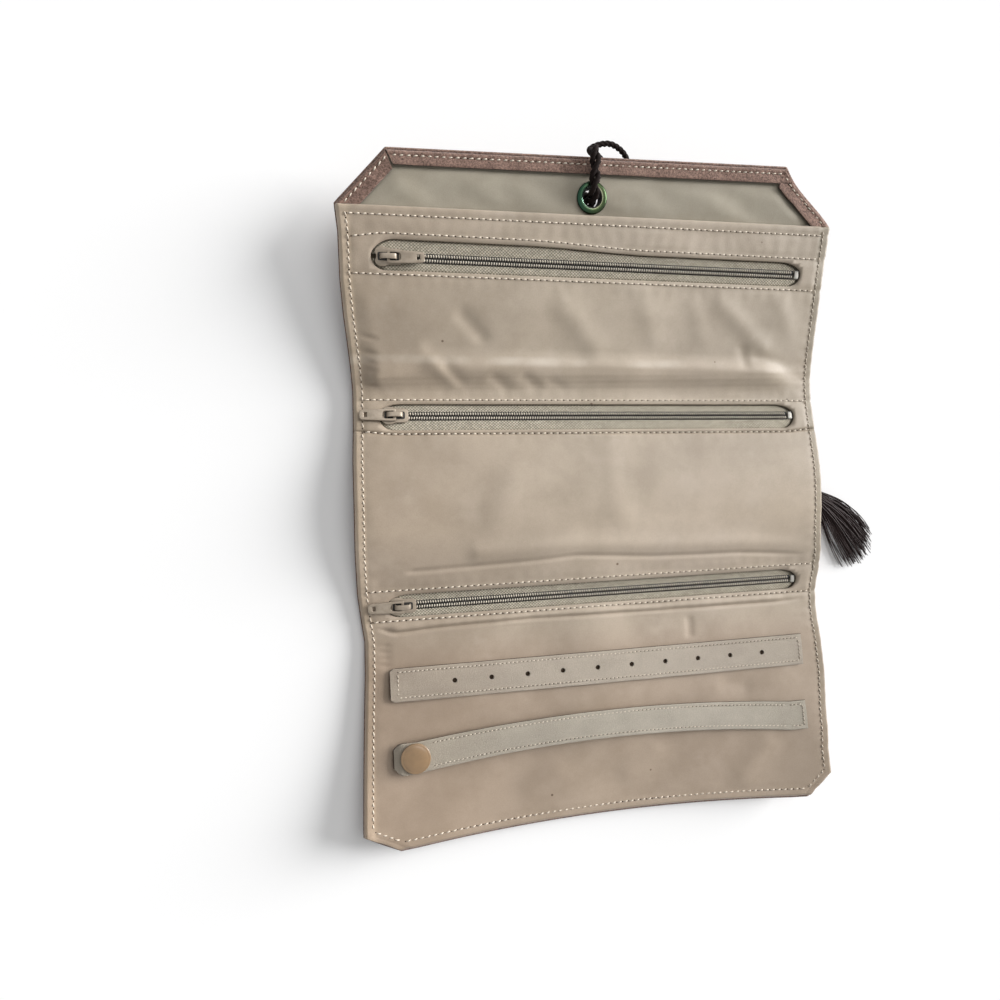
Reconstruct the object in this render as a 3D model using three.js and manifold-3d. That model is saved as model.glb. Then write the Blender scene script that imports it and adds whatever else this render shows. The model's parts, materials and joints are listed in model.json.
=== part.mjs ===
// A trifold jewellery roll lying open, lining side up: three panels with zipped pockets, an earring strip,
// a ring strap with a snap, and a grommet with a doubled tie cord that ends in a tassel under the roll.
// Millimetres, +Z up, +Y towards the flap. The origin is on the table, under the middle of the open roll.
import * as THREE from 'three';
import { mergeVertices } from 'three/addons/utils/BufferGeometryUtils.js';
import Module from 'manifold-3d';

const wasm = await Module();
wasm.setup();

// Overall layout
const PANEL_WIDTH = 229.5;
const UPPER_POCKET_LENGTH = 75.2;
const FLAP_LENGTH = 22.3;
const MIDDLE_SPAN = 116.7;
const LOWER_LENGTH = 92.5;
const CLEARANCE = 0.3;
const FOLD_GAP = 0.6;

// How the open roll lies on the table
const UPPER_TILT = THREE.MathUtils.degToRad(12.5);
const LOWER_TILT = THREE.MathUtils.degToRad(4.5);
const MIDDLE_RISE = 7;
const MIDDLE_FOOT = 8;
const MIDDLE_LEDGE = 4;
const MIDDLE_STEPS = 20;

// Cloth layers
const SHELL_THICKNESS = 1.2;
const BACKING_THICKNESS = 0.4;
const LINING_THICKNESS = 0.8;
const SEAM_WIDTH = 6;

// Flap
const FLAP_CLIP_WIDTH = 19.7;
const FLAP_LINING_THICKNESS = 0.8;
const HEM_THICKNESS = 1;
const HEM_WIDTH = 6.5;
const LOWER_CLIP_WIDTH = 16;
const LOWER_CLIP_LENGTH = 8.5;

// Zippers. The upper two are sewn in a little askew, with their right ends lower.
const ZIP_1_FROM_FLAP = 21.9;
const ZIP_1_SKEW = THREE.MathUtils.degToRad(-1.3);
const ZIP_2_FROM_FOLD = 17;
const ZIP_2_SKEW = THREE.MathUtils.degToRad(-1.1);
const ZIP_3_FROM_FOLD = 16.2;
const ZIP_3_SKEW = 0;
const WINDOW_MARGIN = 11.8;
const WINDOW_HEIGHT = 11.4;
const WINDOW_CORNER = 4.5;
const TAPE_THICKNESS = 0.4;
const TAPE_TUCK = 4;
const TOOTH_PITCH = 3;
const TOOTH_WIDTH = 1.1;
const TOOTH_REACH = 0.5;
const CHAIN_CORE_INNER = 0.9;
const CHAIN_WIDTH = 4.2;
const CHAIN_HEIGHT = 1.4;
const CHAIN_SPREAD = 0.5;
const END_STOP_LENGTH = 2;
const END_STOP_INSET = 1;

// Sliders and pull tabs
const SLIDER_PARK = 7.5;
const SLIDER_LENGTH = 12.2;
const SLIDER_NOSE_WIDTH = 8.2;
const SLIDER_TAIL_WIDTH = 6.6;
const SLIDER_PLATE = 0.7;
const SLIDER_FLANGE = 0.7;
const SLIDER_EASE = 1.5;
const DIAMOND_LENGTH = 3.4;
const DIAMOND_WIDTH = 1.8;
const BRIDGE_LENGTH = 7.4;
const BRIDGE_WIDTH = 2.2;
const BRIDGE_CLEAR = 1.8;
const BRIDGE_THICKNESS = 0.7;
const PULL_LENGTH = 16.4;
const PULL_WIDTH = 6;
const PULL_THICKNESS = 1;
const PULL_ROUND = 1.5;
const PULL_BAR = 1.2;
const PULL_EYE_LENGTH = 4.8;
const PULL_EYE_WIDTH = 3.4;
const PULL_TIP_HOLE_LENGTH = 1.2;
const PULL_TIP_HOLE_WIDTH = 2.2;
const PULL_TIP_HOLE_INSET = 2.2;

// Grommet, tie cord and tassel
const GROMMET_X = -3.2;
const GROMMET_FROM_TOP = 14.6;
const GROMMET_FLANGE_DIAMETER = 14.2;
const GROMMET_BORE = 7.8;
const GROMMET_WALL = 0.8;
const GROMMET_FLANGE = 1;
const CORD_DIAMETER = 2.4;
const CORD_SPACING = 2.7;
const CORD_SIDES = 8;
const CORD_STEP = 3;
const CORD_BEND_STEP = 1.1;
const KNOT_DIAMETER = 9.5;
const KNOT_HEIGHT = 6.5;
const TASSEL_INSET = 21;
const TASSEL_FROM_FOLD = 45.4;
const TASSEL_HEADING = THREE.MathUtils.degToRad(-42);
const TASSEL_HEAD_LENGTH = 8;
const TASSEL_HEAD_DIAMETER = 8;
const TASSEL_HEAD_END_DIAMETER = 6;
const TASSEL_COLLAR_LENGTH = 2.6;
const TASSEL_COLLAR_WALL = 0.8;
const TASSEL_NECK_DIAMETER = 5.8;
const TASSEL_SKIRT_LENGTH = 64;
const TASSEL_SKIRT_WIDTH = 26;
const TASSEL_TIP_HEIGHT = 3.2;
const TASSEL_STRANDS = 14;
const TASSEL_GROOVE = 0.22;
const TASSEL_TIP_NOTCH = 4;

// Earring strip
const STRIP_FROM_FOLD = 20.2;
const STRIP_MARGIN = 11.8;
const STRIP_WIDTH = 14.5;
const STRIP_THICKNESS = 1.2;
const STRIP_ARCH = 1.4;
const STRIP_HOLE = 2.2;
const STRIP_HOLE_PITCH = 17.1;
const STRIP_HOLE_SHIFT = 3.6;
const STRIP_HOLE_MARGIN = 23;

// Ring strap and snap
const STRAP_FROM_FOLD = 52.4;
const STRAP_MARGIN_LEFT = 12;
const STRAP_MARGIN_RIGHT = 12.8;
const STRAP_WIDTH = 14;
const STRAP_THICKNESS = 1.2;
const STRAP_SEWN_LENGTH = 9;
const STRAP_ARCH = 2.6;
const STRAP_BOW = 5.6;
const STRAP_CLIP = 3.2;
const SNAP_FROM_STRAP_END = 10;
const SNAP_CAP_DIAMETER = 13.4;
const SNAP_CAP_HEIGHT = 1.4;
const SNAP_CAP_EDGE = 0.7;
const SNAP_CAP_ROLL = 0.4;
const SNAP_RING_DIAMETER = 10;
const SNAP_STUD_DIAMETER = 4;
const SNAP_STUD_BASE = 0.4;
const SNAP_SOCKET_HEIGHT = 1;

// Heights of the layers above the outer face of the shell
const HALF_WIDTH = PANEL_WIDTH / 2;
const BACKING_BOTTOM = SHELL_THICKNESS + CLEARANCE;
const BACKING_TOP = BACKING_BOTTOM + BACKING_THICKNESS;
const SLIDER_BOTTOM = BACKING_TOP + CLEARANCE;
const CHAIN_BOTTOM = SLIDER_BOTTOM + SLIDER_PLATE + CLEARANCE;
const CHAIN_TOP = CHAIN_BOTTOM + CHAIN_HEIGHT;
const TAPE_BOTTOM = (CHAIN_BOTTOM + CHAIN_TOP - TAPE_THICKNESS) / 2;
const TAPE_TOP = TAPE_BOTTOM + TAPE_THICKNESS;
const LINING_BOTTOM = TAPE_TOP + CLEARANCE;
const LINING_TOP = LINING_BOTTOM + LINING_THICKNESS;
const SLIDER_TOP_BOTTOM = CHAIN_TOP + CLEARANCE;
const SLIDER_TOP = SLIDER_TOP_BOTTOM + SLIDER_PLATE;
const PULL_AXIS = SLIDER_TOP + BRIDGE_CLEAR / 2;
const FLAP_LINING_TOP = BACKING_BOTTOM + FLAP_LINING_THICKNESS;
const HEM_BOTTOM = FLAP_LINING_TOP + CLEARANCE;
const HEM_TOP = HEM_BOTTOM + HEM_THICKNESS;

// Lengths that follow from the layout
const UPPER_LENGTH = UPPER_POCKET_LENGTH + FLAP_LENGTH;
const MIDDLE_LIFT = CORD_DIAMETER + 2 * CLEARANCE;
const OPEN_LENGTH = UPPER_LENGTH * Math.cos(UPPER_TILT) + MIDDLE_SPAN + LOWER_LENGTH * Math.cos(LOWER_TILT);
const UPPER_FOLD_Y = OPEN_LENGTH / 2 - UPPER_LENGTH * Math.cos(UPPER_TILT);
const LOWER_FOLD_Y = UPPER_FOLD_Y - MIDDLE_SPAN;
const WINDOW_HALF = HALF_WIDTH - WINDOW_MARGIN;
const SLIDER_X = -WINDOW_HALF + SLIDER_PARK;
const END_STOP_X = WINDOW_HALF - END_STOP_INSET - END_STOP_LENGTH;
const GROMMET_S = UPPER_LENGTH - GROMMET_FROM_TOP;
const GROMMET_BARREL = GROMMET_BORE + 2 * GROMMET_WALL;

// Facets, and how far a cutter reaches past what it cuts
const ROUND = 24;
const SMALL_ROUND = 12;
const CORNER_STEPS = 8;
const SLOPE_STEP = 0.05;
const DOME_STEPS = 3;
const STRIP_STEPS = 12;
const STRAP_STEPS = 18;
const TASSEL_HEAD_STEPS = 4;
const TASSEL_SKIRT_STEPS = 9;
const CUT = 20;

const Y_AXIS = new THREE.Vector3(0, 1, 0);
const Z_AXIS = new THREE.Vector3(0, 0, 1);
const X_AXIS = new THREE.Vector3(1, 0, 0);

// Materials, from the photographed colours
const cloth = (color) => new THREE.MeshStandardMaterial({ color, roughness: 0.85, metalness: 0 });
const metal = (color, roughness) => new THREE.MeshStandardMaterial({ color, roughness, metalness: 1 });
const LINING = cloth(0xb09a80);
const FLAP_CLOTH = cloth(0xaa9c82);
const SUEDE = cloth(0x7d5f55);
const STRIP_SUEDE = cloth(0xb3a48c);
const BACKING = cloth(0x9b8f7c);
const TAPE = cloth(0x8d8268);
const CHAIN = new THREE.MeshStandardMaterial({ color: 0x756a52, roughness: 0.45, metalness: 0 });
const CORD = cloth(0x2c211c);
const TASSEL = new THREE.MeshStandardMaterial({ color: 0x35251f, roughness: 0.4, metalness: 0 });
const ANTIQUE_BRASS = metal(0x8a7752, 0.4);
const BRIGHT_BRASS = metal(0xb8a468, 0.2);
const STEEL = metal(0xb9b6ad, 0.3);
const SNAP_ENAMEL = new THREE.MeshStandardMaterial({ color: 0x8f6f49, roughness: 0.25, metalness: 0.3 });

// Solid geometry helpers

function onlyPositions(geometry) {
  const bare = new THREE.BufferGeometry();
  bare.setAttribute('position', geometry.getAttribute('position').clone());
  bare.setIndex(geometry.getIndex());
  return mergeVertices(bare, 1e-4);
}

function signedVolume(geometry) {
  const place = geometry.getAttribute('position');
  const order = geometry.getIndex().array;
  const [a, b, c] = [new THREE.Vector3(), new THREE.Vector3(), new THREE.Vector3()];
  let sum = 0;
  for (let i = 0; i < order.length; i += 3) {
    a.fromBufferAttribute(place, order[i]);
    b.fromBufferAttribute(place, order[i + 1]);
    c.fromBufferAttribute(place, order[i + 2]);
    sum += a.dot(b.cross(c)) / 6;
  }
  return sum;
}

function facingOut(geometry) {
  const merged = onlyPositions(geometry);
  if (signedVolume(merged) < 0) {
    const order = merged.getIndex().array;
    for (let i = 0; i < order.length; i += 3) {
      [order[i], order[i + 1]] = [order[i + 1], order[i]];
    }
  }
  return merged;
}

function toSolid(geometry) {
  const merged = facingOut(geometry);
  const mesh = new wasm.Mesh({
    numProp: 3,
    vertProperties: new Float32Array(merged.getAttribute('position').array),
    triVerts: new Uint32Array(merged.getIndex().array),
  });
  return new wasm.Manifold(mesh);
}

function toGeometry(solid) {
  const mesh = solid.getMesh();
  const geometry = new THREE.BufferGeometry();
  geometry.setAttribute('position', new THREE.BufferAttribute(new Float32Array(mesh.vertProperties), 3));
  geometry.setIndex(new THREE.BufferAttribute(new Uint32Array(mesh.triVerts), 1));
  return geometry;
}

const cut = (body, ...tools) =>
  toGeometry(tools.reduce((rest, tool) => rest.subtract(toSolid(tool)), toSolid(body)));

const join = (...bodies) => toGeometry(bodies.map(toSolid).reduce((all, body) => all.add(body)));

const shapeOf = (points) => new THREE.Shape(points.map(([u, v]) => new THREE.Vector2(u, v)));

// An outline in the XY plane, raised from one height to another
function raise(shape, bottom, top) {
  const settings = { depth: top - bottom, bevelEnabled: false, curveSegments: CORNER_STEPS };
  return new THREE.ExtrudeGeometry(shape, settings).translate(0, 0, bottom);
}

// A section in the YZ plane, carried along X
function alongX(points, from, to) {
  const settings = { depth: to - from, bevelEnabled: false };
  const geometry = new THREE.ExtrudeGeometry(shapeOf(points), settings);
  geometry.applyMatrix4(new THREE.Matrix4().makeBasis(Y_AXIS, Z_AXIS, X_AXIS));
  return geometry.translate(from, 0, 0);
}

// A section in the XZ plane, carried along Y through a width centred on zero
function acrossY(points, width) {
  const settings = { depth: width, bevelEnabled: false };
  const geometry = new THREE.ExtrudeGeometry(shapeOf(points), settings);
  geometry.applyMatrix4(new THREE.Matrix4().makeBasis(X_AXIS, Z_AXIS, Y_AXIS.clone().negate()));
  return geometry.translate(0, width / 2, 0);
}

function box(x0, x1, y0, y1, z0, z1) {
  return raise(shapeOf([[x0, y0], [x1, y0], [x1, y1], [x0, y1]]), z0, z1);
}

function disc(radius, bottom, top, x = 0, y = 0, sides = ROUND) {
  const geometry = new THREE.CylinderGeometry(radius, radius, top - bottom, sides);
  return geometry.rotateX(Math.PI / 2).translate(x, y, (top + bottom) / 2);
}

// A revolved profile of [radius, height] pairs, standing on the XY plane
function turned(profile, sides = ROUND) {
  const points = profile.map(([radius, height]) => new THREE.Vector2(radius, height));
  return new THREE.LatheGeometry(points, sides).rotateX(Math.PI / 2);
}

const ringProfile = (inner, outer, bottom, top) =>
  [[inner, bottom], [outer, bottom], [outer, top], [inner, top], [inner, bottom]];

// A skin over rings of points, closed by a fan at each end
function loft(rings) {
  const count = rings[0].length;
  const middle = (ring) => ring.reduce((sum, p) => sum.add(p), new THREE.Vector3()).divideScalar(count);
  const points = [...rings.flat(), middle(rings[0]), middle(rings.at(-1))];
  const order = [];
  const first = rings.length * count;
  for (let k = 0; k < count; k += 1) {
    const next = (k + 1) % count;
    for (let r = 0; r + 1 < rings.length; r += 1) {
      const [a, b] = [r * count + k, r * count + next];
      order.push(a, b, b + count, a, b + count, a + count);
    }
    const last = (rings.length - 1) * count;
    order.push(first, next, k, first + 1, last + k, last + next);
  }
  const geometry = new THREE.BufferGeometry().setFromPoints(points);
  geometry.setIndex(order);
  return geometry;
}

// A round cord along a smooth curve through hand-chosen points, with its step in cord diameters
function cordAlong(points, step) {
  const path = new THREE.CatmullRomCurve3(points, false, 'centripetal');
  const section = new THREE.Shape();
  section.absarc(0, 0, CORD_DIAMETER / 2, 0, 2 * Math.PI);
  const corners = section.getSpacedPoints(CORD_SIDES).slice(0, CORD_SIDES);
  return new THREE.ExtrudeGeometry(new THREE.Shape(corners), {
    steps: Math.round(path.getLength() / (step * CORD_DIAMETER)),
    bevelEnabled: false,
    extrudePath: path,
  });
}

// The roll and its three panels

const roll = new THREE.Group();
const upper = new THREE.Group();
upper.position.set(0, UPPER_FOLD_Y, MIDDLE_LIFT);
upper.rotation.x = UPPER_TILT;
const lower = new THREE.Group();
lower.position.set(0, LOWER_FOLD_Y, 0);
lower.rotation.x = -LOWER_TILT;
roll.add(upper, lower);
roll.updateMatrixWorld(true);

function piece(parent, name, geometry, material) {
  const mesh = new THREE.Mesh(facingOut(geometry), material);
  mesh.name = name;
  parent.add(mesh);
  return mesh;
}

// A flat layer of a tilted panel. It starts at a plumb face beside the fold unless a start is given.
function panelLayer(tilt, side, end, bottom, top, halfWidth, start = null) {
  const plumb = (height) => (FOLD_GAP / 2 + height * Math.sin(tilt)) / Math.cos(tilt);
  const section = [
    [side * (start ?? plumb(bottom)), bottom],
    [side * end, bottom],
    [side * end, top],
    [side * (start ?? plumb(top)), top],
  ];
  return alongX(section, -halfWidth, halfWidth);
}

// The middle panel's outer face: flat at the lower fold, arched, and lifted by the cord at the upper fold
function middleHeight(along) {
  const share = (along - MIDDLE_FOOT) / (MIDDLE_SPAN - MIDDLE_FOOT - MIDDLE_LEDGE);
  const t = THREE.MathUtils.clamp(share, 0, 1);
  return MIDDLE_LIFT * THREE.MathUtils.smoothstep(t, 0, 1) + MIDDLE_RISE * Math.sin(Math.PI * t) ** 2;
}

function middleSlope(along) {
  const climb = middleHeight(along + SLOPE_STEP) - middleHeight(along - SLOPE_STEP);
  return Math.atan(climb / (2 * SLOPE_STEP));
}

function onMiddle(along, height) {
  const slope = middleSlope(along);
  const y = LOWER_FOLD_Y + along - height * Math.sin(slope);
  return [y, middleHeight(along) + height * Math.cos(slope)];
}

const middleStations = [FOLD_GAP / 2, MIDDLE_FOOT];
for (let k = 1; k <= MIDDLE_STEPS; k += 1) {
  middleStations.push(MIDDLE_FOOT + ((MIDDLE_SPAN - MIDDLE_FOOT - MIDDLE_LEDGE) * k) / MIDDLE_STEPS);
}
middleStations.push(MIDDLE_SPAN - FOLD_GAP / 2);

function middleLayer(bottom, top, halfWidth) {
  const under = middleStations.map((along) => onMiddle(along, bottom));
  const over = middleStations.map((along) => onMiddle(along, top)).reverse();
  return alongX([...under, ...over], -halfWidth, halfWidth);
}

// A slot with round corners, cut through the lining over a zipper
function windowCutter() {
  const straightX = WINDOW_HALF - WINDOW_CORNER;
  const straightY = WINDOW_HEIGHT / 2 - WINDOW_CORNER;
  const slot = new THREE.Shape();
  slot.absarc(straightX, straightY, WINDOW_CORNER, 0, Math.PI / 2);
  slot.absarc(-straightX, straightY, WINDOW_CORNER, Math.PI / 2, Math.PI);
  slot.absarc(-straightX, -straightY, WINDOW_CORNER, Math.PI, 1.5 * Math.PI);
  slot.absarc(straightX, -straightY, WINDOW_CORNER, 1.5 * Math.PI, 2 * Math.PI);
  return raise(slot, LINING_BOTTOM - CLEARANCE, CUT);
}

// Where a zipper lies: a group whose XY plane is the outer face of the shell under it
function zipperOnUpper() {
  const place = new THREE.Group();
  place.position.y = UPPER_POCKET_LENGTH - ZIP_1_FROM_FLAP;
  place.rotation.z = ZIP_1_SKEW;
  upper.add(place);
  return place;
}

function zipperOnMiddle(along, skew) {
  const place = new THREE.Group();
  place.position.set(0, LOWER_FOLD_Y + along, middleHeight(along));
  place.rotation.set(middleSlope(along), 0, skew);
  roll.add(place);
  return place;
}

// Half a zipper chain: a core along the tape with teeth that mesh with the other half's, parted at the slider
function chainHalf(side) {
  const start = SLIDER_X - SLIDER_LENGTH / 2 + CLEARANCE;
  const partedTo = SLIDER_X - DIAMOND_LENGTH / 2;
  const closedFrom = SLIDER_X + DIAMOND_LENGTH;
  const end = END_STOP_X - CLEARANCE;
  const inner = CHAIN_CORE_INNER;
  const outer = CHAIN_WIDTH / 2;
  const firstTooth = closedFrom + (side > 0 ? TOOTH_PITCH / 2 : TOOTH_PITCH);
  const outline = [[start, inner + CHAIN_SPREAD], [partedTo, inner + CHAIN_SPREAD], [closedFrom, inner]];
  for (let x = firstTooth; x + TOOTH_WIDTH < end; x += TOOTH_PITCH) {
    outline.push([x, inner], [x, -TOOTH_REACH]);
    outline.push([x + TOOTH_WIDTH, -TOOTH_REACH], [x + TOOTH_WIDTH, inner]);
  }
  outline.push([end, inner], [end, outer], [closedFrom, outer]);
  outline.push([partedTo, outer + CHAIN_SPREAD], [start, outer + CHAIN_SPREAD]);
  return raise(shapeOf(outline.map(([x, y]) => [x, side * y])), CHAIN_BOTTOM, CHAIN_TOP);
}

function tapeHalf(side) {
  const half = WINDOW_HALF + TAPE_TUCK;
  const inner = CHAIN_WIDTH / 2 + CHAIN_SPREAD + CLEARANCE;
  const outer = WINDOW_HEIGHT / 2 + TAPE_TUCK;
  const [low, high] = side > 0 ? [inner, outer] : [-outer, -inner];
  return box(-half, half, low, high, TAPE_BOTTOM, TAPE_TOP);
}

// A crimped metal staple over the closed end of the chain
function endStop() {
  const half = CHAIN_WIDTH / 2;
  return box(END_STOP_X, END_STOP_X + END_STOP_LENGTH, -half, half, CHAIN_BOTTOM, CHAIN_TOP + CLEARANCE);
}

// The slider's plan: wide at the nose, narrow at the tail, with eased corners
function sliderPlan() {
  const half = SLIDER_LENGTH / 2;
  const nose = SLIDER_NOSE_WIDTH / 2;
  const tail = SLIDER_TAIL_WIDTH / 2;
  const upperSide = [[half, tail - SLIDER_EASE / 2], [half - SLIDER_EASE / 2, tail], [0, tail]];
  upperSide.push([-SLIDER_EASE, nose], [-half + SLIDER_EASE, nose], [-half, nose - SLIDER_EASE]);
  const lowerSide = upperSide.map(([x, y]) => [x, -y]).reverse();
  return shapeOf([...upperSide, ...lowerSide]);
}

// Two plates on a diamond post that parts the chain, with lips along their sides and a bridge on top
function slider() {
  const channel = SLIDER_NOSE_WIDTH / 2 - SLIDER_FLANGE;
  const core = box(-SLIDER_LENGTH, SLIDER_LENGTH, -channel, channel, -CUT, CUT);
  const lips = (bottom, top) => cut(raise(sliderPlan(), bottom, top), core);
  const post = shapeOf([
    [-DIAMOND_LENGTH, 0],
    [-DIAMOND_LENGTH / 2, -DIAMOND_WIDTH / 2],
    [0, 0],
    [-DIAMOND_LENGTH / 2, DIAMOND_WIDTH / 2],
  ]);
  return join(
    raise(sliderPlan(), SLIDER_BOTTOM, SLIDER_BOTTOM + SLIDER_PLATE),
    raise(sliderPlan(), SLIDER_TOP_BOTTOM, SLIDER_TOP),
    raise(post, SLIDER_BOTTOM, SLIDER_TOP),
    lips(TAPE_TOP + CLEARANCE, SLIDER_TOP),
    lips(SLIDER_BOTTOM, TAPE_BOTTOM - CLEARANCE),
    bridge(),
  );
}

// The arch on top of a slider that holds the pull tab's bar
function bridge() {
  const outer = BRIDGE_LENGTH / 2;
  const inner = outer - BRIDGE_THICKNESS;
  const foot = SLIDER_TOP - SLIDER_PLATE / 2;
  const under = SLIDER_TOP + BRIDGE_CLEAR;
  const over = under + BRIDGE_THICKNESS;
  const arch = [[-outer, foot], [-outer, under - BRIDGE_THICKNESS], [-inner, over], [inner, over]];
  arch.push([outer, under - BRIDGE_THICKNESS], [outer, foot], [inner, foot]);
  arch.push([inner, under], [-inner, under], [-inner, foot]);
  return acrossY(arch, BRIDGE_WIDTH);
}

// A flat stamped pull tab: a bar under the bridge, an eye round it, and a small hole by the eased free end
function pullTab(heading) {
  const half = PULL_WIDTH / 2;
  const tip = PULL_LENGTH;
  const plan = shapeOf([
    [-PULL_BAR / 2, -half],
    [tip - PULL_ROUND, -half],
    [tip, -half + PULL_ROUND],
    [tip, half - PULL_ROUND],
    [tip - PULL_ROUND, half],
    [-PULL_BAR / 2, half],
  ]);
  const hole = (from, to, width) =>
    plan.holes.push(new THREE.Path([
      new THREE.Vector2(from, -width / 2),
      new THREE.Vector2(to, -width / 2),
      new THREE.Vector2(to, width / 2),
      new THREE.Vector2(from, width / 2),
    ]));
  hole(PULL_BAR / 2, PULL_BAR / 2 + PULL_EYE_LENGTH, PULL_EYE_WIDTH);
  const tipHole = tip - PULL_TIP_HOLE_INSET;
  hole(tipHole - PULL_TIP_HOLE_LENGTH, tipHole, PULL_TIP_HOLE_WIDTH);
  const tab = raise(plan, -PULL_THICKNESS / 2, PULL_THICKNESS / 2);
  return heading > 0 ? tab : tab.rotateZ(Math.PI);
}

function zipper(number, place, pullHeading) {
  const name = `zip_${number}`;
  for (const [word, side] of [['upper', 1], ['lower', -1]]) {
    piece(place, `${name}_tape_${word}`, tapeHalf(side), TAPE);
    piece(place, `${name}_teeth_${word}`, chainHalf(side), CHAIN);
  }
  piece(place, `${name}_end_stop`, endStop(), STEEL);
  piece(place, `${name}_slider`, slider(), ANTIQUE_BRASS).position.x = SLIDER_X;
  const pull = piece(place, `${name}_pull`, pullTab(pullHeading), ANTIQUE_BRASS);
  pull.position.set(SLIDER_X, 0, PULL_AXIS);
}

// Upper panel: zipped pocket, flap with turned hems, grommet

// The flap's outline from its side corners to the top edge, drawn in by an inset
function flapOutline(from, inset) {
  const slant = Math.hypot(FLAP_CLIP_WIDTH, FLAP_LENGTH);
  const top = UPPER_LENGTH - inset;
  const sideShift = (inset * slant) / FLAP_LENGTH;
  const lean = FLAP_CLIP_WIDTH / FLAP_LENGTH;
  const slantX = (s) => HALF_WIDTH - sideShift - (s - UPPER_POCKET_LENGTH) * lean;
  return [[-slantX(from), from], [slantX(from), from], [slantX(top), top], [-slantX(top), top]];
}

function upperPanel() {
  const cornerCut = (side) =>
    raise(shapeOf([
      [side * HALF_WIDTH, UPPER_POCKET_LENGTH],
      [side * (HALF_WIDTH + CUT), UPPER_POCKET_LENGTH],
      [side * (HALF_WIDTH + CUT), UPPER_LENGTH + CUT],
      [side * (HALF_WIDTH - FLAP_CLIP_WIDTH * (1 + CUT / FLAP_LENGTH)), UPPER_LENGTH + CUT],
    ]), -CUT, CUT);
  const eyelet = disc(GROMMET_BARREL / 2 + CLEARANCE, -CUT, CUT, GROMMET_X, GROMMET_S);
  const shell = panelLayer(UPPER_TILT, 1, UPPER_LENGTH, 0, SHELL_THICKNESS, HALF_WIDTH);
  piece(upper, 'outer_shell_upper', cut(shell, cornerCut(1), cornerCut(-1), eyelet), SUEDE);

  const pocketEnd = UPPER_POCKET_LENGTH - SEAM_WIDTH;
  const pocketHalf = HALF_WIDTH - SEAM_WIDTH;
  const backingEnd = pocketEnd - CLEARANCE;
  const backingHalf = pocketHalf - CLEARANCE;
  const backing = panelLayer(UPPER_TILT, 1, backingEnd, BACKING_BOTTOM, BACKING_TOP, backingHalf);
  piece(upper, 'pocket_backing_upper', backing, BACKING);

  const place = zipperOnUpper();
  const lining = panelLayer(UPPER_TILT, 1, UPPER_POCKET_LENGTH, BACKING_BOTTOM, LINING_TOP, HALF_WIDTH);
  const pocket = panelLayer(UPPER_TILT, 1, pocketEnd, 0, LINING_BOTTOM, pocketHalf, -CUT);
  place.updateMatrix();
  const zipSlot = windowCutter().applyMatrix4(place.matrix);
  piece(upper, 'lining_upper', cut(lining, pocket, zipSlot), LINING);
  zipper(1, place, 1);

  const liningStart = UPPER_POCKET_LENGTH + CLEARANCE;
  const liningOutline = flapOutline(liningStart, HEM_THICKNESS + CLEARANCE);
  const flapLining = raise(shapeOf(liningOutline), BACKING_BOTTOM, FLAP_LINING_TOP);
  piece(upper, 'flap_lining', cut(flapLining, eyelet), FLAP_CLOTH);
  turnedHems(liningStart);
  grommet();
}

// The shell's suede turned over the flap's edge in three strips that meet at the clipped corners
function turnedHems(start) {
  const rim = raise(shapeOf(flapOutline(start, 0)), BACKING_BOTTOM, HEM_TOP);
  const room = raise(shapeOf(flapOutline(start - CUT, HEM_THICKNESS)), -CUT, HEM_BOTTOM);
  const inside = raise(shapeOf(flapOutline(start - CUT, HEM_WIDTH)), -CUT, CUT);
  const frame = cut(rim, room, inside);
  const [, , outerCorner] = flapOutline(start, 0);
  const [, , innerCorner] = flapOutline(start, HEM_WIDTH);
  const lean = (outerCorner[0] - innerCorner[0]) / HEM_WIDTH;
  const mitreX = (s) => outerCorner[0] + lean * (s - UPPER_LENGTH);
  const bottom = start - CUT;
  const top = UPPER_LENGTH + CUT;
  const beyond = (side, gap) =>
    raise(shapeOf([
      [side * (mitreX(bottom) - gap), bottom],
      [side * (HALF_WIDTH + CUT + lean * CUT * 2), bottom],
      [side * (HALF_WIDTH + CUT + lean * CUT * 2), top],
      [side * (mitreX(top) - gap), top],
    ]), -CUT, CUT);
  const half = CLEARANCE / 2;
  piece(upper, 'turned_hem_top', cut(frame, beyond(1, half), beyond(-1, half)), SUEDE);
  for (const [word, side] of [['right', 1], ['left', -1]]) {
    const strip = toGeometry(toSolid(frame).intersect(toSolid(beyond(side, -half))));
    piece(upper, `turned_hem_${word}`, strip, SUEDE);
  }
}

// A two-part grommet: a flanged barrel from the lining side and a washer on the outer face
function grommet() {
  const bore = GROMMET_BORE / 2;
  const barrel = GROMMET_BARREL / 2;
  const flange = GROMMET_FLANGE_DIAMETER / 2;
  const under = FLAP_LINING_TOP + CLEARANCE;
  const over = under + GROMMET_FLANGE;
  const bottom = -CLEARANCE - GROMMET_FLANGE;
  const middle = (bore + flange) / 2;
  const profile = [[bore, bottom], [barrel, bottom], [barrel, under], [flange, under]];
  profile.push([middle, over], [bore, over - GROMMET_FLANGE / 2], [bore, bottom]);
  const front = turned(profile).translate(GROMMET_X, GROMMET_S, 0);
  piece(upper, 'grommet_front', front, BRIGHT_BRASS);
  const washer = turned(ringProfile(barrel + CLEARANCE, flange, bottom, -CLEARANCE));
  piece(upper, 'grommet_back', washer.translate(GROMMET_X, GROMMET_S, 0), BRIGHT_BRASS);
}

// Middle panel: the pocket behind zipper 2, with zipper 3 by the lower fold

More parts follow.
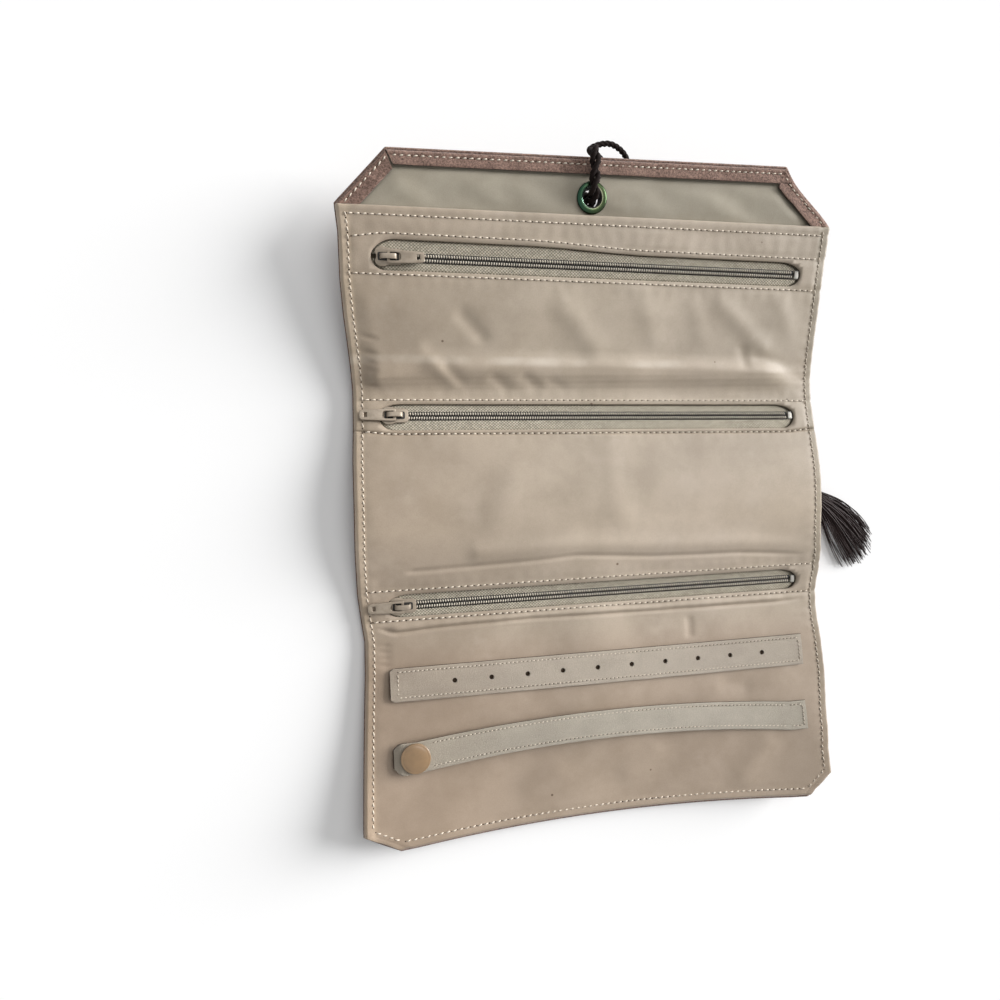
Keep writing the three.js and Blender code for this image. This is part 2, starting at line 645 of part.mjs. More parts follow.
function middlePanel() {
  piece(roll, 'outer_shell_middle', middleLayer(0, SHELL_THICKNESS, HALF_WIDTH), SUEDE);
  const pocketHalf = HALF_WIDTH - SEAM_WIDTH;
  const backing = middleLayer(BACKING_BOTTOM, BACKING_TOP, pocketHalf - CLEARANCE);
  piece(roll, 'pocket_backing_middle', backing, BACKING);
  const places = [
    zipperOnMiddle(MIDDLE_SPAN - ZIP_2_FROM_FOLD, ZIP_2_SKEW),
    zipperOnMiddle(ZIP_3_FROM_FOLD, ZIP_3_SKEW),
  ];
  const slots = places.map((place) => {
    place.updateMatrix();
    return windowCutter().applyMatrix4(place.matrix);
  });
  const lining = middleLayer(BACKING_BOTTOM, LINING_TOP, HALF_WIDTH);
  const pocket = middleLayer(0, LINING_BOTTOM, pocketHalf);
  const openEnds = [LOWER_FOLD_Y, UPPER_FOLD_Y].map((y) => {
    const ceiling = middleHeight(y - LOWER_FOLD_Y) + LINING_BOTTOM;
    return box(-pocketHalf, pocketHalf, y - FOLD_GAP, y + FOLD_GAP, 0, ceiling);
  });
  piece(roll, 'lining_middle', cut(lining, pocket, ...openEnds, ...slots), LINING);
  places.forEach((place, k) => zipper(k + 2, place, -1));
}

// Lower panel: earring strip, ring strap and snap over a pocket that zipper 3 opens

// The lower panel's outline from the fold to its clipped corners, drawn in by an inset
function lowerOutline(from, inset) {
  const half = HALF_WIDTH - inset;
  const end = LOWER_LENGTH - inset;
  const slant = Math.hypot(LOWER_CLIP_WIDTH, LOWER_CLIP_LENGTH);
  const side = LOWER_LENGTH - LOWER_CLIP_LENGTH - (inset * (slant - LOWER_CLIP_LENGTH)) / LOWER_CLIP_WIDTH;
  const foot = HALF_WIDTH - LOWER_CLIP_WIDTH - (inset * (slant - LOWER_CLIP_WIDTH)) / LOWER_CLIP_LENGTH;
  return [[-half, -from], [-half, -side], [-foot, -end], [foot, -end], [half, -side], [half, -from]];
}

function lowerPanel() {
  const within = raise(shapeOf(lowerOutline(-CUT, 0)), -CUT, CUT);
  const trim = (layer) => toGeometry(toSolid(layer).intersect(toSolid(within)));
  const shell = panelLayer(LOWER_TILT, -1, LOWER_LENGTH, 0, SHELL_THICKNESS, HALF_WIDTH);
  piece(lower, 'outer_shell_lower', trim(shell), SUEDE);
  const backing = panelLayer(LOWER_TILT, -1, LOWER_LENGTH, BACKING_BOTTOM, BACKING_TOP, HALF_WIDTH);
  const backingArea = raise(shapeOf(lowerOutline(-CUT, SEAM_WIDTH + CLEARANCE)), -CUT, CUT);
  const backingBody = toGeometry(toSolid(backing).intersect(toSolid(backingArea)));
  piece(lower, 'pocket_backing_lower', backingBody, BACKING);
  const lining = panelLayer(LOWER_TILT, -1, LOWER_LENGTH, BACKING_BOTTOM, LINING_TOP, HALF_WIDTH);
  const pocket = raise(shapeOf(lowerOutline(-CUT, SEAM_WIDTH)), 0, LINING_BOTTOM);
  piece(lower, 'lining_lower', cut(trim(lining), pocket), LINING);
  earringStrip();
  ringStrap();
}

// A strip with a row of small holes, sewn down at its ends and standing off a little between them
function earringStrip() {
  const half = HALF_WIDTH - STRIP_MARGIN;
  const base = LINING_TOP + CLEARANCE;
  const over = [];
  const under = [];
  for (let k = 0; k <= STRIP_STEPS; k += 1) {
    const share = k / STRIP_STEPS;
    const x = -half + 2 * half * share;
    const lift = STRIP_ARCH * Math.sin(Math.PI * share);
    under.push([x, base + lift]);
    over.unshift([x, base + lift + STRIP_THICKNESS]);
  }
  const strip = acrossY([...under, ...over], STRIP_WIDTH);
  const count = Math.floor((2 * (half - STRIP_HOLE_MARGIN)) / STRIP_HOLE_PITCH) + 1;
  const holes = [];
  for (let k = 0; k < count; k += 1) {
    const x = STRIP_HOLE_SHIFT + (k - (count - 1) / 2) * STRIP_HOLE_PITCH;
    holes.push(disc(STRIP_HOLE / 2, 0, CUT, x, 0, SMALL_ROUND));
  }
  piece(lower, 'earring_strip', cut(strip, ...holes), STRIP_SUEDE).position.y = -STRIP_FROM_FOLD;
}

// A slack strap sewn down at its right end and held at its left end by a snap
// Curves a band towards the earring strip between two places along it
function bowed(geometry, from, to) {
  const place = geometry.getAttribute('position');
  for (let i = 0; i < place.count; i += 1) {
    const share = THREE.MathUtils.clamp((place.getX(i) - from) / (to - from), 0, 1);
    place.setY(i, place.getY(i) + STRAP_BOW * Math.sin(Math.PI * share));
  }
  return geometry;
}

function ringStrap() {
  const left = -HALF_WIDTH + STRAP_MARGIN_LEFT;
  const right = HALF_WIDTH - STRAP_MARGIN_RIGHT;
  const sewn = right - STRAP_SEWN_LENGTH;
  const base = LINING_TOP + CLEARANCE;
  const snapX = left + SNAP_FROM_STRAP_END;
  const socketBottom = base + SNAP_STUD_BASE + CLEARANCE;
  const socketTop = socketBottom + SNAP_SOCKET_HEIGHT;
  const snapLift = socketTop + CLEARANCE - base;
  const place = new THREE.Group();
  place.position.y = -STRAP_FROM_FOLD;
  lower.add(place);

  const halfWidth = STRAP_WIDTH / 2;
  const anchor = box(sewn, right, -halfWidth, halfWidth, base, base + STRAP_THICKNESS);
  piece(place, 'ring_strap_sewn_end', anchor, STRIP_SUEDE);

  const flatTo = snapX + SNAP_CAP_DIAMETER / 2 + CLEARANCE;
  const free = sewn - CLEARANCE;
  const under = [[left, base + snapLift]];
  for (let k = 0; k <= STRAP_STEPS; k += 1) {
    const share = k / STRAP_STEPS;
    const fromSnap = snapLift * (1 - THREE.MathUtils.smoothstep(share, 0, 1));
    const bow = STRAP_ARCH * Math.sin(Math.PI * share) ** 2;
    under.push([flatTo + (free - flatTo) * share, base + fromSnap + bow]);
  }
  const over = under.map(([x, z]) => [x, z + STRAP_THICKNESS]).reverse();
  const band = bowed(acrossY([...under, ...over], STRAP_WIDTH), flatTo, free);
  const corner = (side) =>
    raise(shapeOf([
      [left - STRAP_CLIP, side * (halfWidth - STRAP_CLIP * 2)],
      [left + STRAP_CLIP * 2, side * (halfWidth + STRAP_CLIP)],
      [left - STRAP_CLIP, side * (halfWidth + STRAP_CLIP)],
    ]), -CUT, CUT);
  piece(place, 'ring_strap', cut(band, corner(1), corner(-1)), STRIP_SUEDE);

  const capBottom = base + snapLift + STRAP_THICKNESS + CLEARANCE;
  const capRadius = SNAP_CAP_DIAMETER / 2;
  const rim = capRadius - SNAP_CAP_ROLL;
  const cap = [[0, 0], [rim, 0], [capRadius, SNAP_CAP_EDGE / 2]];
  for (let k = 0; k <= DOME_STEPS; k += 1) {
    const angle = (Math.PI * k) / (2 * DOME_STEPS);
    const rise = (SNAP_CAP_HEIGHT - SNAP_CAP_EDGE) * Math.sin(angle);
    cap.push([rim * Math.cos(angle), SNAP_CAP_EDGE + rise]);
  }
  piece(place, 'snap_cap', turned(cap), SNAP_ENAMEL).position.set(snapX, 0, capBottom);

  const stud = SNAP_STUD_DIAMETER / 2;
  const ring = SNAP_RING_DIAMETER / 2;
  const socket = turned(ringProfile(stud + CLEARANCE, ring, socketBottom, socketTop));
  piece(place, 'snap_socket', socket, STEEL).position.x = snapX;
  const studTop = socketTop - CLEARANCE;
  const plateTop = base + SNAP_STUD_BASE;
  const studProfile = [[0, base], [ring, base], [ring, plateTop], [stud, plateTop]];
  studProfile.push([stud, studTop], [0, studTop]);
  piece(place, 'snap_stud', turned(studProfile), STEEL).position.x = snapX;
}

// Tie cord: two strands from a knot behind the grommet, through it, over the top edge and under the roll

const onUpper = (x, s, height) => upper.localToWorld(new THREE.Vector3(x, s, height));
const FLOOR_CORD = CORD_DIAMETER / 2 + CLEARANCE / 3;
const onFloor = (x, y, height = 0) => new THREE.Vector3(x, y, FLOOR_CORD + height);
const TASSEL_X = HALF_WIDTH - TASSEL_INSET;
const TASSEL_Y = UPPER_FOLD_Y - TASSEL_FROM_FOLD;
const TASSEL_Z = TASSEL_HEAD_DIAMETER / 2 + CLEARANCE / 3;

// The next stretch of a strand, starting a small gap after the end of the one before it
function joined(before, after) {
  const end = before.at(-1);
  const onward = new THREE.CatmullRomCurve3(before, false, 'centripetal').getTangentAt(1);
  const ahead = (distance) => end.clone().addScaledVector(onward, distance);
  return [ahead(2 * CLEARANCE), ahead(CORD_DIAMETER), ...after];
}

function tieCord() {
  const knot = new THREE.SphereGeometry(KNOT_DIAMETER / 2, SMALL_ROUND, 8);
  knot.scale(1, 1, KNOT_HEIGHT / KNOT_DIAMETER);
  const washerFace = -CLEARANCE - GROMMET_FLANGE;
  const knotHeight = washerFace - CLEARANCE - KNOT_HEIGHT / 2;
  piece(upper, 'tie_cord_knot', knot, CORD).position.set(GROMMET_X, GROMMET_S, knotHeight);

  const side = CORD_SPACING / 2;
  const start = washerFace + CLEARANCE;
  const rideHeight = HEM_TOP + CLEARANCE + CORD_DIAMETER / 2;
  const edge = UPPER_LENGTH + CLEARANCE + CORD_DIAMETER / 2;
  const overTheEdge = (x) => [
    onUpper(x, GROMMET_S, start),
    onUpper(x, GROMMET_S + 0.2, 2.2),
    onUpper(x, GROMMET_S + 2.6, rideHeight + 0.1),
    onUpper(x, GROMMET_S + 7, rideHeight + 0.2),
    onUpper(x, UPPER_LENGTH - 3, rideHeight + 0.2),
    onUpper(x, edge - 0.3, rideHeight - 0.6),
    onUpper(x, edge + 0.5, 1.8),
  ];
  const edgeRight = [
    ...overTheEdge(GROMMET_X + side),
    onUpper(GROMMET_X + 3.6, edge + 0.2, -2.2),
    onUpper(GROMMET_X + 8, edge - 1.8, -6),
    onUpper(GROMMET_X + 12, edge - 5, -11),
  ];
  const edgeLeft = [
    ...overTheEdge(GROMMET_X - side),
    onUpper(GROMMET_X - 0.2, edge + 2.4, -0.8),
    onUpper(GROMMET_X + 4, edge + 4.4, -1.6),
    onUpper(GROMMET_X + 10, edge + 5, -2.2),
    onUpper(GROMMET_X + 17, edge + 2, -4.5),
    onUpper(GROMMET_X + 22, edge - 4, -9.5),
  ];
  piece(roll, 'tie_cord_edge_right', cordAlong(edgeRight, CORD_BEND_STEP), CORD);
  piece(roll, 'tie_cord_edge_left', cordAlong(edgeLeft, CORD_BEND_STEP), CORD);

  const upperRight = [
    onFloor(11.5, 138, 5.5),
    onFloor(8, 131, 1.3),
    onFloor(0, 122, 0.15),
    onFloor(-13, 112),
    onFloor(-22, 99),
    onFloor(-17, 86),
    onFloor(0, 78),
    onFloor(18, 71),
    onFloor(28, 63),
    onFloor(31, UPPER_FOLD_Y + CLEARANCE / 2),
  ];
  const upperLeft = [
    onFloor(20.5, 138, 6.5),
    onFloor(17, 130, 1.5),
    onFloor(7, 118.5, 0.15),
    onFloor(-7, 107.5),
    onFloor(-15.5, 98),
    onFloor(-12, 90),
    onFloor(2, 83),
    onFloor(21.5, 75.5),
    onFloor(33, 65.5),
    onFloor(36.5, UPPER_FOLD_Y + CLEARANCE / 2),
  ];
  piece(roll, 'tie_cord_upper_right', cordAlong(joined(edgeRight, upperRight), CORD_STEP), CORD);
  piece(roll, 'tie_cord_upper_left', cordAlong(joined(edgeLeft, upperLeft), CORD_STEP), CORD);

  const axis = new THREE.Vector3(Math.cos(TASSEL_HEADING), Math.sin(TASSEL_HEADING), 0);
  const beside = new THREE.Vector3(-axis.y, axis.x, 0);
  const head = new THREE.Vector3(TASSEL_X, TASSEL_Y, TASSEL_Z);
  const atHead = (back, aside) =>
    head.clone().addScaledVector(axis, -back).addScaledVector(beside, aside);
  const lowerRight = [
    onFloor(31, UPPER_FOLD_Y - CLEARANCE / 2),
    onFloor(33.5, 47),
    onFloor(44, 36.5),
    onFloor(61, 27.5),
    onFloor(75, 20, 0.6),
    atHead(6, -side),
    atHead(CLEARANCE, -side),
  ];
  const lowerLeft = [
    onFloor(36.5, UPPER_FOLD_Y - CLEARANCE / 2),
    onFloor(39, 49),
    onFloor(48, 40.5),
    onFloor(65, 31.5),
    onFloor(79, 23.5, 0.6),
    atHead(6, side),
    atHead(CLEARANCE, side),
  ];
  piece(roll, 'tie_cord_lower_right', cordAlong(lowerRight, CORD_STEP), CORD);
  piece(roll, 'tie_cord_lower_left', cordAlong(lowerLeft, CORD_STEP), CORD);
}

// Tassel: a round head, a wrapped collar and a skirt of strands that fans out over the table

function tassel() {
  const place = new THREE.Group();
  place.position.set(TASSEL_X, TASSEL_Y, TASSEL_Z);
  place.rotation.z = TASSEL_HEADING;
  roll.add(place);
  const lying = (geometry) => geometry.rotateY(Math.PI / 2);

  const head = [[0, 0]];
  for (let k = 0; k <= TASSEL_HEAD_STEPS; k += 1) {
    const share = k / TASSEL_HEAD_STEPS;
    const bulge = Math.sin(Math.PI * share);
    head.push([
      THREE.MathUtils.lerp(TASSEL_HEAD_END_DIAMETER, TASSEL_HEAD_DIAMETER, bulge) / 2,
      TASSEL_HEAD_LENGTH * share,
    ]);
  }
  head.push([0, TASSEL_HEAD_LENGTH]);
  piece(place, 'tassel_head', lying(turned(head, SMALL_ROUND)), CORD);

  const neck = TASSEL_NECK_DIAMETER / 2;
  const collarStart = TASSEL_HEAD_LENGTH + CLEARANCE;
  const collarEnd = collarStart + TASSEL_COLLAR_LENGTH;
  const collarInner = neck + CLEARANCE;
  const collar = ringProfile(collarInner, collarInner + TASSEL_COLLAR_WALL, collarStart, collarEnd);
  piece(place, 'tassel_collar', lying(turned(collar, SMALL_ROUND)), CORD);

  const rings = [];
  const around = TASSEL_STRANDS * 2;
  for (let r = 0; r <= TASSEL_SKIRT_STEPS; r += 1) {
    const share = r / TASSEL_SKIRT_STEPS;
    const flare = THREE.MathUtils.smoothstep(share, 0, 1);
    const halfWidth = THREE.MathUtils.lerp(neck, TASSEL_SKIRT_WIDTH / 2, flare);
    const halfHeight = THREE.MathUtils.lerp(neck, TASSEL_TIP_HEIGHT / 2, share);
    const drop = share * (TASSEL_Z - CLEARANCE - TASSEL_TIP_HEIGHT / 2);
    const ring = [];
    for (let k = 0; k < around; k += 1) {
      const angle = (2 * Math.PI * k) / around;
      const valley = k % 2 === 1;
      const reach = valley && r > 0 ? 1 - TASSEL_GROOVE : 1;
      const notch = valley && r === TASSEL_SKIRT_STEPS ? TASSEL_TIP_NOTCH : 0;
      ring.push(new THREE.Vector3(
        collarStart + TASSEL_SKIRT_LENGTH * share - notch,
        Math.cos(angle) * halfWidth * reach,
        Math.sin(angle) * halfHeight * reach - drop,
      ));
    }
    rings.push(ring);
  }
  piece(place, 'tassel_skirt', loft(rings), TASSEL);
}

upperPanel();
middlePanel();
lowerPanel();
tieCord();
tassel();

export default roll;
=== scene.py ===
"""A trifold jewellery roll lying open on a white table, lining side up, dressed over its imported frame."""

import json
import math

import bmesh
import bpy
import numpy as np
from mathutils import Matrix, Vector
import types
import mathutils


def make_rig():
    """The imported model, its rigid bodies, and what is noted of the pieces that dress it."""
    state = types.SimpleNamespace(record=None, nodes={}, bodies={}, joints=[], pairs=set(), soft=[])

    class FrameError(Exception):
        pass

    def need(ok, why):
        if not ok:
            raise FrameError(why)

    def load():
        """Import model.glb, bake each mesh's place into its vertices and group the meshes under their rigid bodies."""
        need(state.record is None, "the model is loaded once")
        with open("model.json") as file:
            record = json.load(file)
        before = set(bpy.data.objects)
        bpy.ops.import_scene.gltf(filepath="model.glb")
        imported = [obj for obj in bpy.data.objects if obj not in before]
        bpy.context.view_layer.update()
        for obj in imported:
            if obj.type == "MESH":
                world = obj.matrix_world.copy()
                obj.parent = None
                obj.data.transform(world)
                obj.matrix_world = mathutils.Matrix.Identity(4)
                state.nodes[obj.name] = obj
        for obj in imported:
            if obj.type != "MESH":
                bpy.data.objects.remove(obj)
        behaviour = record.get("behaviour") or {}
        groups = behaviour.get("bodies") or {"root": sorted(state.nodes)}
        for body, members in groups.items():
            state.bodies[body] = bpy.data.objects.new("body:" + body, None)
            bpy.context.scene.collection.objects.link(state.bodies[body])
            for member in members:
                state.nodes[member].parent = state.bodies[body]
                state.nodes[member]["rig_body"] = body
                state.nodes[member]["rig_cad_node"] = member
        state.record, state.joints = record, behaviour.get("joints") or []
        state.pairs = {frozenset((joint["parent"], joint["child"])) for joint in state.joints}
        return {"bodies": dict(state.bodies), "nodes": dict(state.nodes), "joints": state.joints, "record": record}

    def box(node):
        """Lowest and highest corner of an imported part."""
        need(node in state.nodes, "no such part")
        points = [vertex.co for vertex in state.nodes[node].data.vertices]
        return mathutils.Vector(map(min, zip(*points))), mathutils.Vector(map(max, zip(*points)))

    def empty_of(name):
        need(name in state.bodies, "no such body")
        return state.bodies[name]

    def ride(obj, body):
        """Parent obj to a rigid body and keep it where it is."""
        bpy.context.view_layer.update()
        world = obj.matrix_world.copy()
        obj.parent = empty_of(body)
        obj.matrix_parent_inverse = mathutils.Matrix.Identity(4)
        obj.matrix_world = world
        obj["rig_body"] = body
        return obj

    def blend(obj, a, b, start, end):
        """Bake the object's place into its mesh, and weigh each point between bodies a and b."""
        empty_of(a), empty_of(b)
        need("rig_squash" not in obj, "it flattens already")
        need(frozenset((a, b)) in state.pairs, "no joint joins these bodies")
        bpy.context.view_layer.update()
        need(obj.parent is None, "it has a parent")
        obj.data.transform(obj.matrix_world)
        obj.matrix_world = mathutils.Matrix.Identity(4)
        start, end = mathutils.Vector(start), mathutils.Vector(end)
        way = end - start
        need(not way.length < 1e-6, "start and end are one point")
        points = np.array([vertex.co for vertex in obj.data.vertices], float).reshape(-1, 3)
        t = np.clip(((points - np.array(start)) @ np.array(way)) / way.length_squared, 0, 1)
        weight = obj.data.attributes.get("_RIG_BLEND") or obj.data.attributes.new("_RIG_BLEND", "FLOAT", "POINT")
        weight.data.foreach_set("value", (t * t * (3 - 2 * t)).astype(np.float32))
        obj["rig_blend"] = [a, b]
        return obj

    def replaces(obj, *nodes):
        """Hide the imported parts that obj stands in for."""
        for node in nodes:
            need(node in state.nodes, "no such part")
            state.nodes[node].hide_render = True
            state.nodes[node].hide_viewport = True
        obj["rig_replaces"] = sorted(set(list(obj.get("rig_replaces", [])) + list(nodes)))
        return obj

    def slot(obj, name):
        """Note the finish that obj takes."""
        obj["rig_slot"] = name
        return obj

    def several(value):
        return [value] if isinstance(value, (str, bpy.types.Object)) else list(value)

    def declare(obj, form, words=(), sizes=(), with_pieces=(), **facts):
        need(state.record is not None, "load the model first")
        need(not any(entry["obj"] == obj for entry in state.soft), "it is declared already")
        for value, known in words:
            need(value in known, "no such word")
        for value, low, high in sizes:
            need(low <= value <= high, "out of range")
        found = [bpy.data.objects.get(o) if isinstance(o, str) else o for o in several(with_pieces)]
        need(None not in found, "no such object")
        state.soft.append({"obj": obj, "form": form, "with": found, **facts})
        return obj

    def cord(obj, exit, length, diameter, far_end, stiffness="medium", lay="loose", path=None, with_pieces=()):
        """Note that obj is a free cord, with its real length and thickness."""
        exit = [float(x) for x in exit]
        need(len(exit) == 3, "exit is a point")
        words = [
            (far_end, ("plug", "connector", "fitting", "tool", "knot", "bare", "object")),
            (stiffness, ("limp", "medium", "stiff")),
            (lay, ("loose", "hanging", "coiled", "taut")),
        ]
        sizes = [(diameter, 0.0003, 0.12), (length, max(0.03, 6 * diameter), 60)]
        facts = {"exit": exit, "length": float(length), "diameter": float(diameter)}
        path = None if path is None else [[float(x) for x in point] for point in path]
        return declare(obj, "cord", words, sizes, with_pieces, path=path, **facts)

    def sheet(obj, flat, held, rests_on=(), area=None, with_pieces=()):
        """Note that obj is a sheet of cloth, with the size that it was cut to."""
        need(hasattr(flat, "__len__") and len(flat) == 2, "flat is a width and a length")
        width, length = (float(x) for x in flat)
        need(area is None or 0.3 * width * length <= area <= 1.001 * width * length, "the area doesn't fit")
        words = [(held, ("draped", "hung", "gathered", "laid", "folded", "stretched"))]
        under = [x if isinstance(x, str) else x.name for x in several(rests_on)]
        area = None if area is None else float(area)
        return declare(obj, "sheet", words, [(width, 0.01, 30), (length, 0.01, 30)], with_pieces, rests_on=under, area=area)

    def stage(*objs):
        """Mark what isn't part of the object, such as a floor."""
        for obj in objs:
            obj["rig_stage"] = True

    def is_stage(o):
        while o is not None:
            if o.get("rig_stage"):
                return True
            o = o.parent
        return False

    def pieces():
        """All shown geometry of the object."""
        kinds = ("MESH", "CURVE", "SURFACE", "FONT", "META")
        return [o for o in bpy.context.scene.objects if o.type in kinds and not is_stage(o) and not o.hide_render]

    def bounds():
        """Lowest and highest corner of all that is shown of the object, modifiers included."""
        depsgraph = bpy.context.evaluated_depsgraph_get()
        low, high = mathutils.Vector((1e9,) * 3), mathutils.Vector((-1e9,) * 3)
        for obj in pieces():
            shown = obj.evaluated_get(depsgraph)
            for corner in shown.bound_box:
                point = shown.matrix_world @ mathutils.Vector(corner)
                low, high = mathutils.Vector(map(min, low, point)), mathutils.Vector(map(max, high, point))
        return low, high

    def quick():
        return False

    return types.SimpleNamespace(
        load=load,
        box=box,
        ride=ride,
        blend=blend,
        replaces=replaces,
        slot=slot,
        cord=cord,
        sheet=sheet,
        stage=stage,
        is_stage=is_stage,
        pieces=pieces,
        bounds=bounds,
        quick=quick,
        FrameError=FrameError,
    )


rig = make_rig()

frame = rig.load()
CAD_BOX = [list(corner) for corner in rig.bounds()]
JOINTS = {joint["name"]: joint for joint in frame["joints"]}
MM = 0.001
UP = np.array([0.0, 0.0, 1.0])

# Camera, fitted to the photograph's stitch lines and corners
IMAGE_SIZE = 1000
FOCAL_PIXELS = 653.8
SENSOR = 36.0
CAMERA_TURN = Vector((-0.05, -10.0, -2.48))
CAMERA_PLACE = Vector((-101.5, 3.1, 307.3))

# Layout of the roll in millimetres: the frame gives its width and folds, and the rest is as in the part
HALF_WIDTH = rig.box("outer_shell_middle")[1].x / MM
UPPER_FOLD_Y = JOINTS["fold_upper"]["pos_m"][1] / MM
LOWER_FOLD_Y = JOINTS["fold_lower"]["pos_m"][1] / MM
MIDDLE_SPAN = UPPER_FOLD_Y - LOWER_FOLD_Y
UPPER_TILT = math.radians(12.5)
LOWER_TILT = math.radians(4.5)
POCKET_LENGTH = 75.2
FLAP_LENGTH = 23.8
FLAP_CLIP = 19.7
LOWER_LENGTH = 92.5
LOWER_CLIP = {-1: (16.0, 8.5), 1: (11.5, 11.0)}
MIDDLE_FOOT = 8.0
MIDDLE_LEDGE = 4.0
MIDDLE_RISE = 7.0
MIDDLE_LIFT = 3.0
POCKET_TOP = MIDDLE_SPAN + POCKET_LENGTH
FLAP_TOP = POCKET_TOP + FLAP_LENGTH
CLIP_STARTS = [length - LOWER_LENGTH for _, length in LOWER_CLIP.values()]

# Cloth heights above the shell's outer face
EDGE_MIDDLE = 2.4
EDGE_ROUND = 1.8
LINING_TOP = 5.2
LINING_THICKNESS = 0.8
SHELL_THICKNESS = 1.0
SHELL_INSET = 0.5
FLAP_LINING_TOP = 2.3
FLAP_LINING_THICKNESS = 0.7
SIDE_STITCH = 4.0

# Zippers: distance along the roll from the lower fold, how askew they are sewn, and the slot in the lining
ZIP_ALONG = {1: MIDDLE_SPAN + 53.3, 2: MIDDLE_SPAN - 17.0, 3: 16.2}
ZIP_SKEW = {1: math.radians(-1.3), 2: math.radians(-1.1), 3: 0.0}
ZIP_BODY = {1: "upper_panel", 2: "middle_panel", 3: "middle_panel"}
PULL_HEADING = {1: 0.0, 2: math.pi, 3: math.pi}
SLOT_HALF_LENGTH = HALF_WIDTH - 11.8
SLOT_HALF_HEIGHT = 5.7
STITCH_ABOVE_ZIP = 7.6
STITCH_BELOW_ZIP = -7.2
SLIDER_X = -SLOT_HALF_LENGTH + 7.5
END_STOP_X = SLOT_HALF_LENGTH - 3.0
SEAM_V = ZIP_ALONG[2] + STITCH_BELOW_ZIP


# General helpers

def ease(share):
    share = np.clip(share, 0, 1)
    return share * share * (3 - 2 * share)


def bell(distance, width):
    return np.exp(-((distance / width) ** 2))


def unit(vectors):
    return vectors / np.maximum(np.linalg.norm(vectors, axis=-1, keepdims=True), 1e-12)


def smooth_noise(x, y, size, seed, octaves=2):
    """Soft random bumps of about -1 to 1, with features of that size in millimetres."""
    draw = np.random.default_rng(seed)
    total = np.zeros(np.broadcast(x, y).shape)
    weight = 0.0
    for octave in range(octaves):
        reach = size / 2 ** octave
        gain = 0.55 ** octave
        for _ in range(9):
            angle, phase = draw.uniform(0, 2 * math.pi, 2)
            pace = 2 * math.pi / (reach * draw.uniform(0.8, 1.7))
            total += gain * np.sin(pace * (x * math.cos(angle) + y * math.sin(angle)) + phase)
        weight += gain * 3.0
    return total / weight


def stations(keys, step):
    """Values that hit every key, spaced by about a step."""
    made = [keys[0]]
    for a, b in zip(keys[:-1], keys[1:]):
        count = max(1, round(abs(b - a) / step))
        made += [a + (b - a) * k / count for k in range(1, count + 1)]
    return np.array(made)


def closer_stations(keys, spans, step, close_step):
    """Values that hit every key, in order, spaced more closely over some spans."""
    keys = sorted([*keys, *(edge for span in spans for edge in span)])
    made = [keys[:1]]
    for low, high in zip(keys[:-1], keys[1:]):
        close = any(start <= low < end for start, end in spans)
        made.append(stations([low, high], close_step if close else step)[1:])
    return np.concatenate(made)


def running_length(line, stretch=1.0):
    """The distance along a line at each of its points."""
    return np.concatenate([[0], np.cumsum(stretch * np.linalg.norm(np.diff(line, axis=0), axis=1))])


def read_along(distances, reach, table):
    """Rows of a table at distances along a line whose points have these distances."""
    return np.stack([np.interp(distances, reach, table[:, k]) for k in range(3)], -1)


def linked(name, data):
    """A new object in the scene."""
    made = bpy.data.objects.new(name, data)
    bpy.context.scene.collection.objects.link(made)
    return made


def mesh_piece(name, points, faces, material, smooth=True):
    """An object from points in millimetres and lists of corners."""
    mesh = bpy.data.meshes.new(name)
    mesh.from_pydata((np.asarray(points, float).reshape(-1, 3) * MM).tolist(), [], faces)
    mesh.validate()
    mesh.update()
    mesh.polygons.foreach_set("use_smooth", [smooth] * len(mesh.polygons))
    mesh.materials.append(material)
    return linked(name, mesh)


def wrapped(count):
    """The neighbours round a closed ring."""
    return [(k, (k + 1) % count) for k in range(count)]


def ring_angles(count):
    return np.linspace(0, 2 * math.pi, count, endpoint=False)


def grid_faces(rows, columns, around=False):
    beside = wrapped(columns) if around else wrapped(columns)[:-1]
    return [(r * columns + c, r * columns + d, (r + 1) * columns + d, (r + 1) * columns + c)
            for r in range(rows - 1) for c, d in beside]


def tube_faces(rings, sides):
    """Faces of a tube made of rings of points, closed at both ends."""
    last = (rings - 1) * sides
    ends = [tuple(range(sides))[::-1], tuple(range(last, last + sides))]
    return grid_faces(rings, sides, around=True) + ends


def gathered(parts):
    """Points and faces of several parts as one list each."""
    count, faces = 0, []
    for part_points, part_faces in parts:
        faces += [tuple(i + count for i in face) for face in part_faces]
        count += len(part_points)
    return np.concatenate([part[0] for part in parts]), faces


def baked(thing):
    """The mesh that an object shows once its modifiers or its curve's bevel are applied."""
    graph = bpy.context.evaluated_depsgraph_get()
    return bpy.data.meshes.new_from_object(thing.evaluated_get(graph))


def with_modifier(piece, kind, **values):
    """Applies a modifier to a piece's mesh."""
    modifier = piece.modifiers.new(kind.lower(), kind)
    for key, value in values.items():
        setattr(modifier, key, value)
    mesh = baked(piece)
    piece.modifiers.clear()
    piece.data = mesh
    return piece


def thick(piece, thickness, **values):
    """Gives a sheet its thickness on the side away from its normals."""
    return with_modifier(piece, "SOLIDIFY", thickness=thickness * MM, offset=-1.0, **values)


def turned(name, profile, material, segments):
    """A revolved piece round the Z axis from [radius, height] pairs."""
    angles = ring_angles(segments)
    rings = [np.stack([r * np.cos(angles), r * np.sin(angles), np.full(segments, z)], -1) for r, z in profile]
    return mesh_piece(name, np.concatenate(rings), tube_faces(len(profile), segments), material)


def arc(radius, wide, height, high, degrees):
    """Points of an elliptic arc for a turned profile, round a middle at a radius and a height."""
    return [(radius + wide * math.cos(a), height + high * math.sin(a)) for a in np.radians(degrees)]


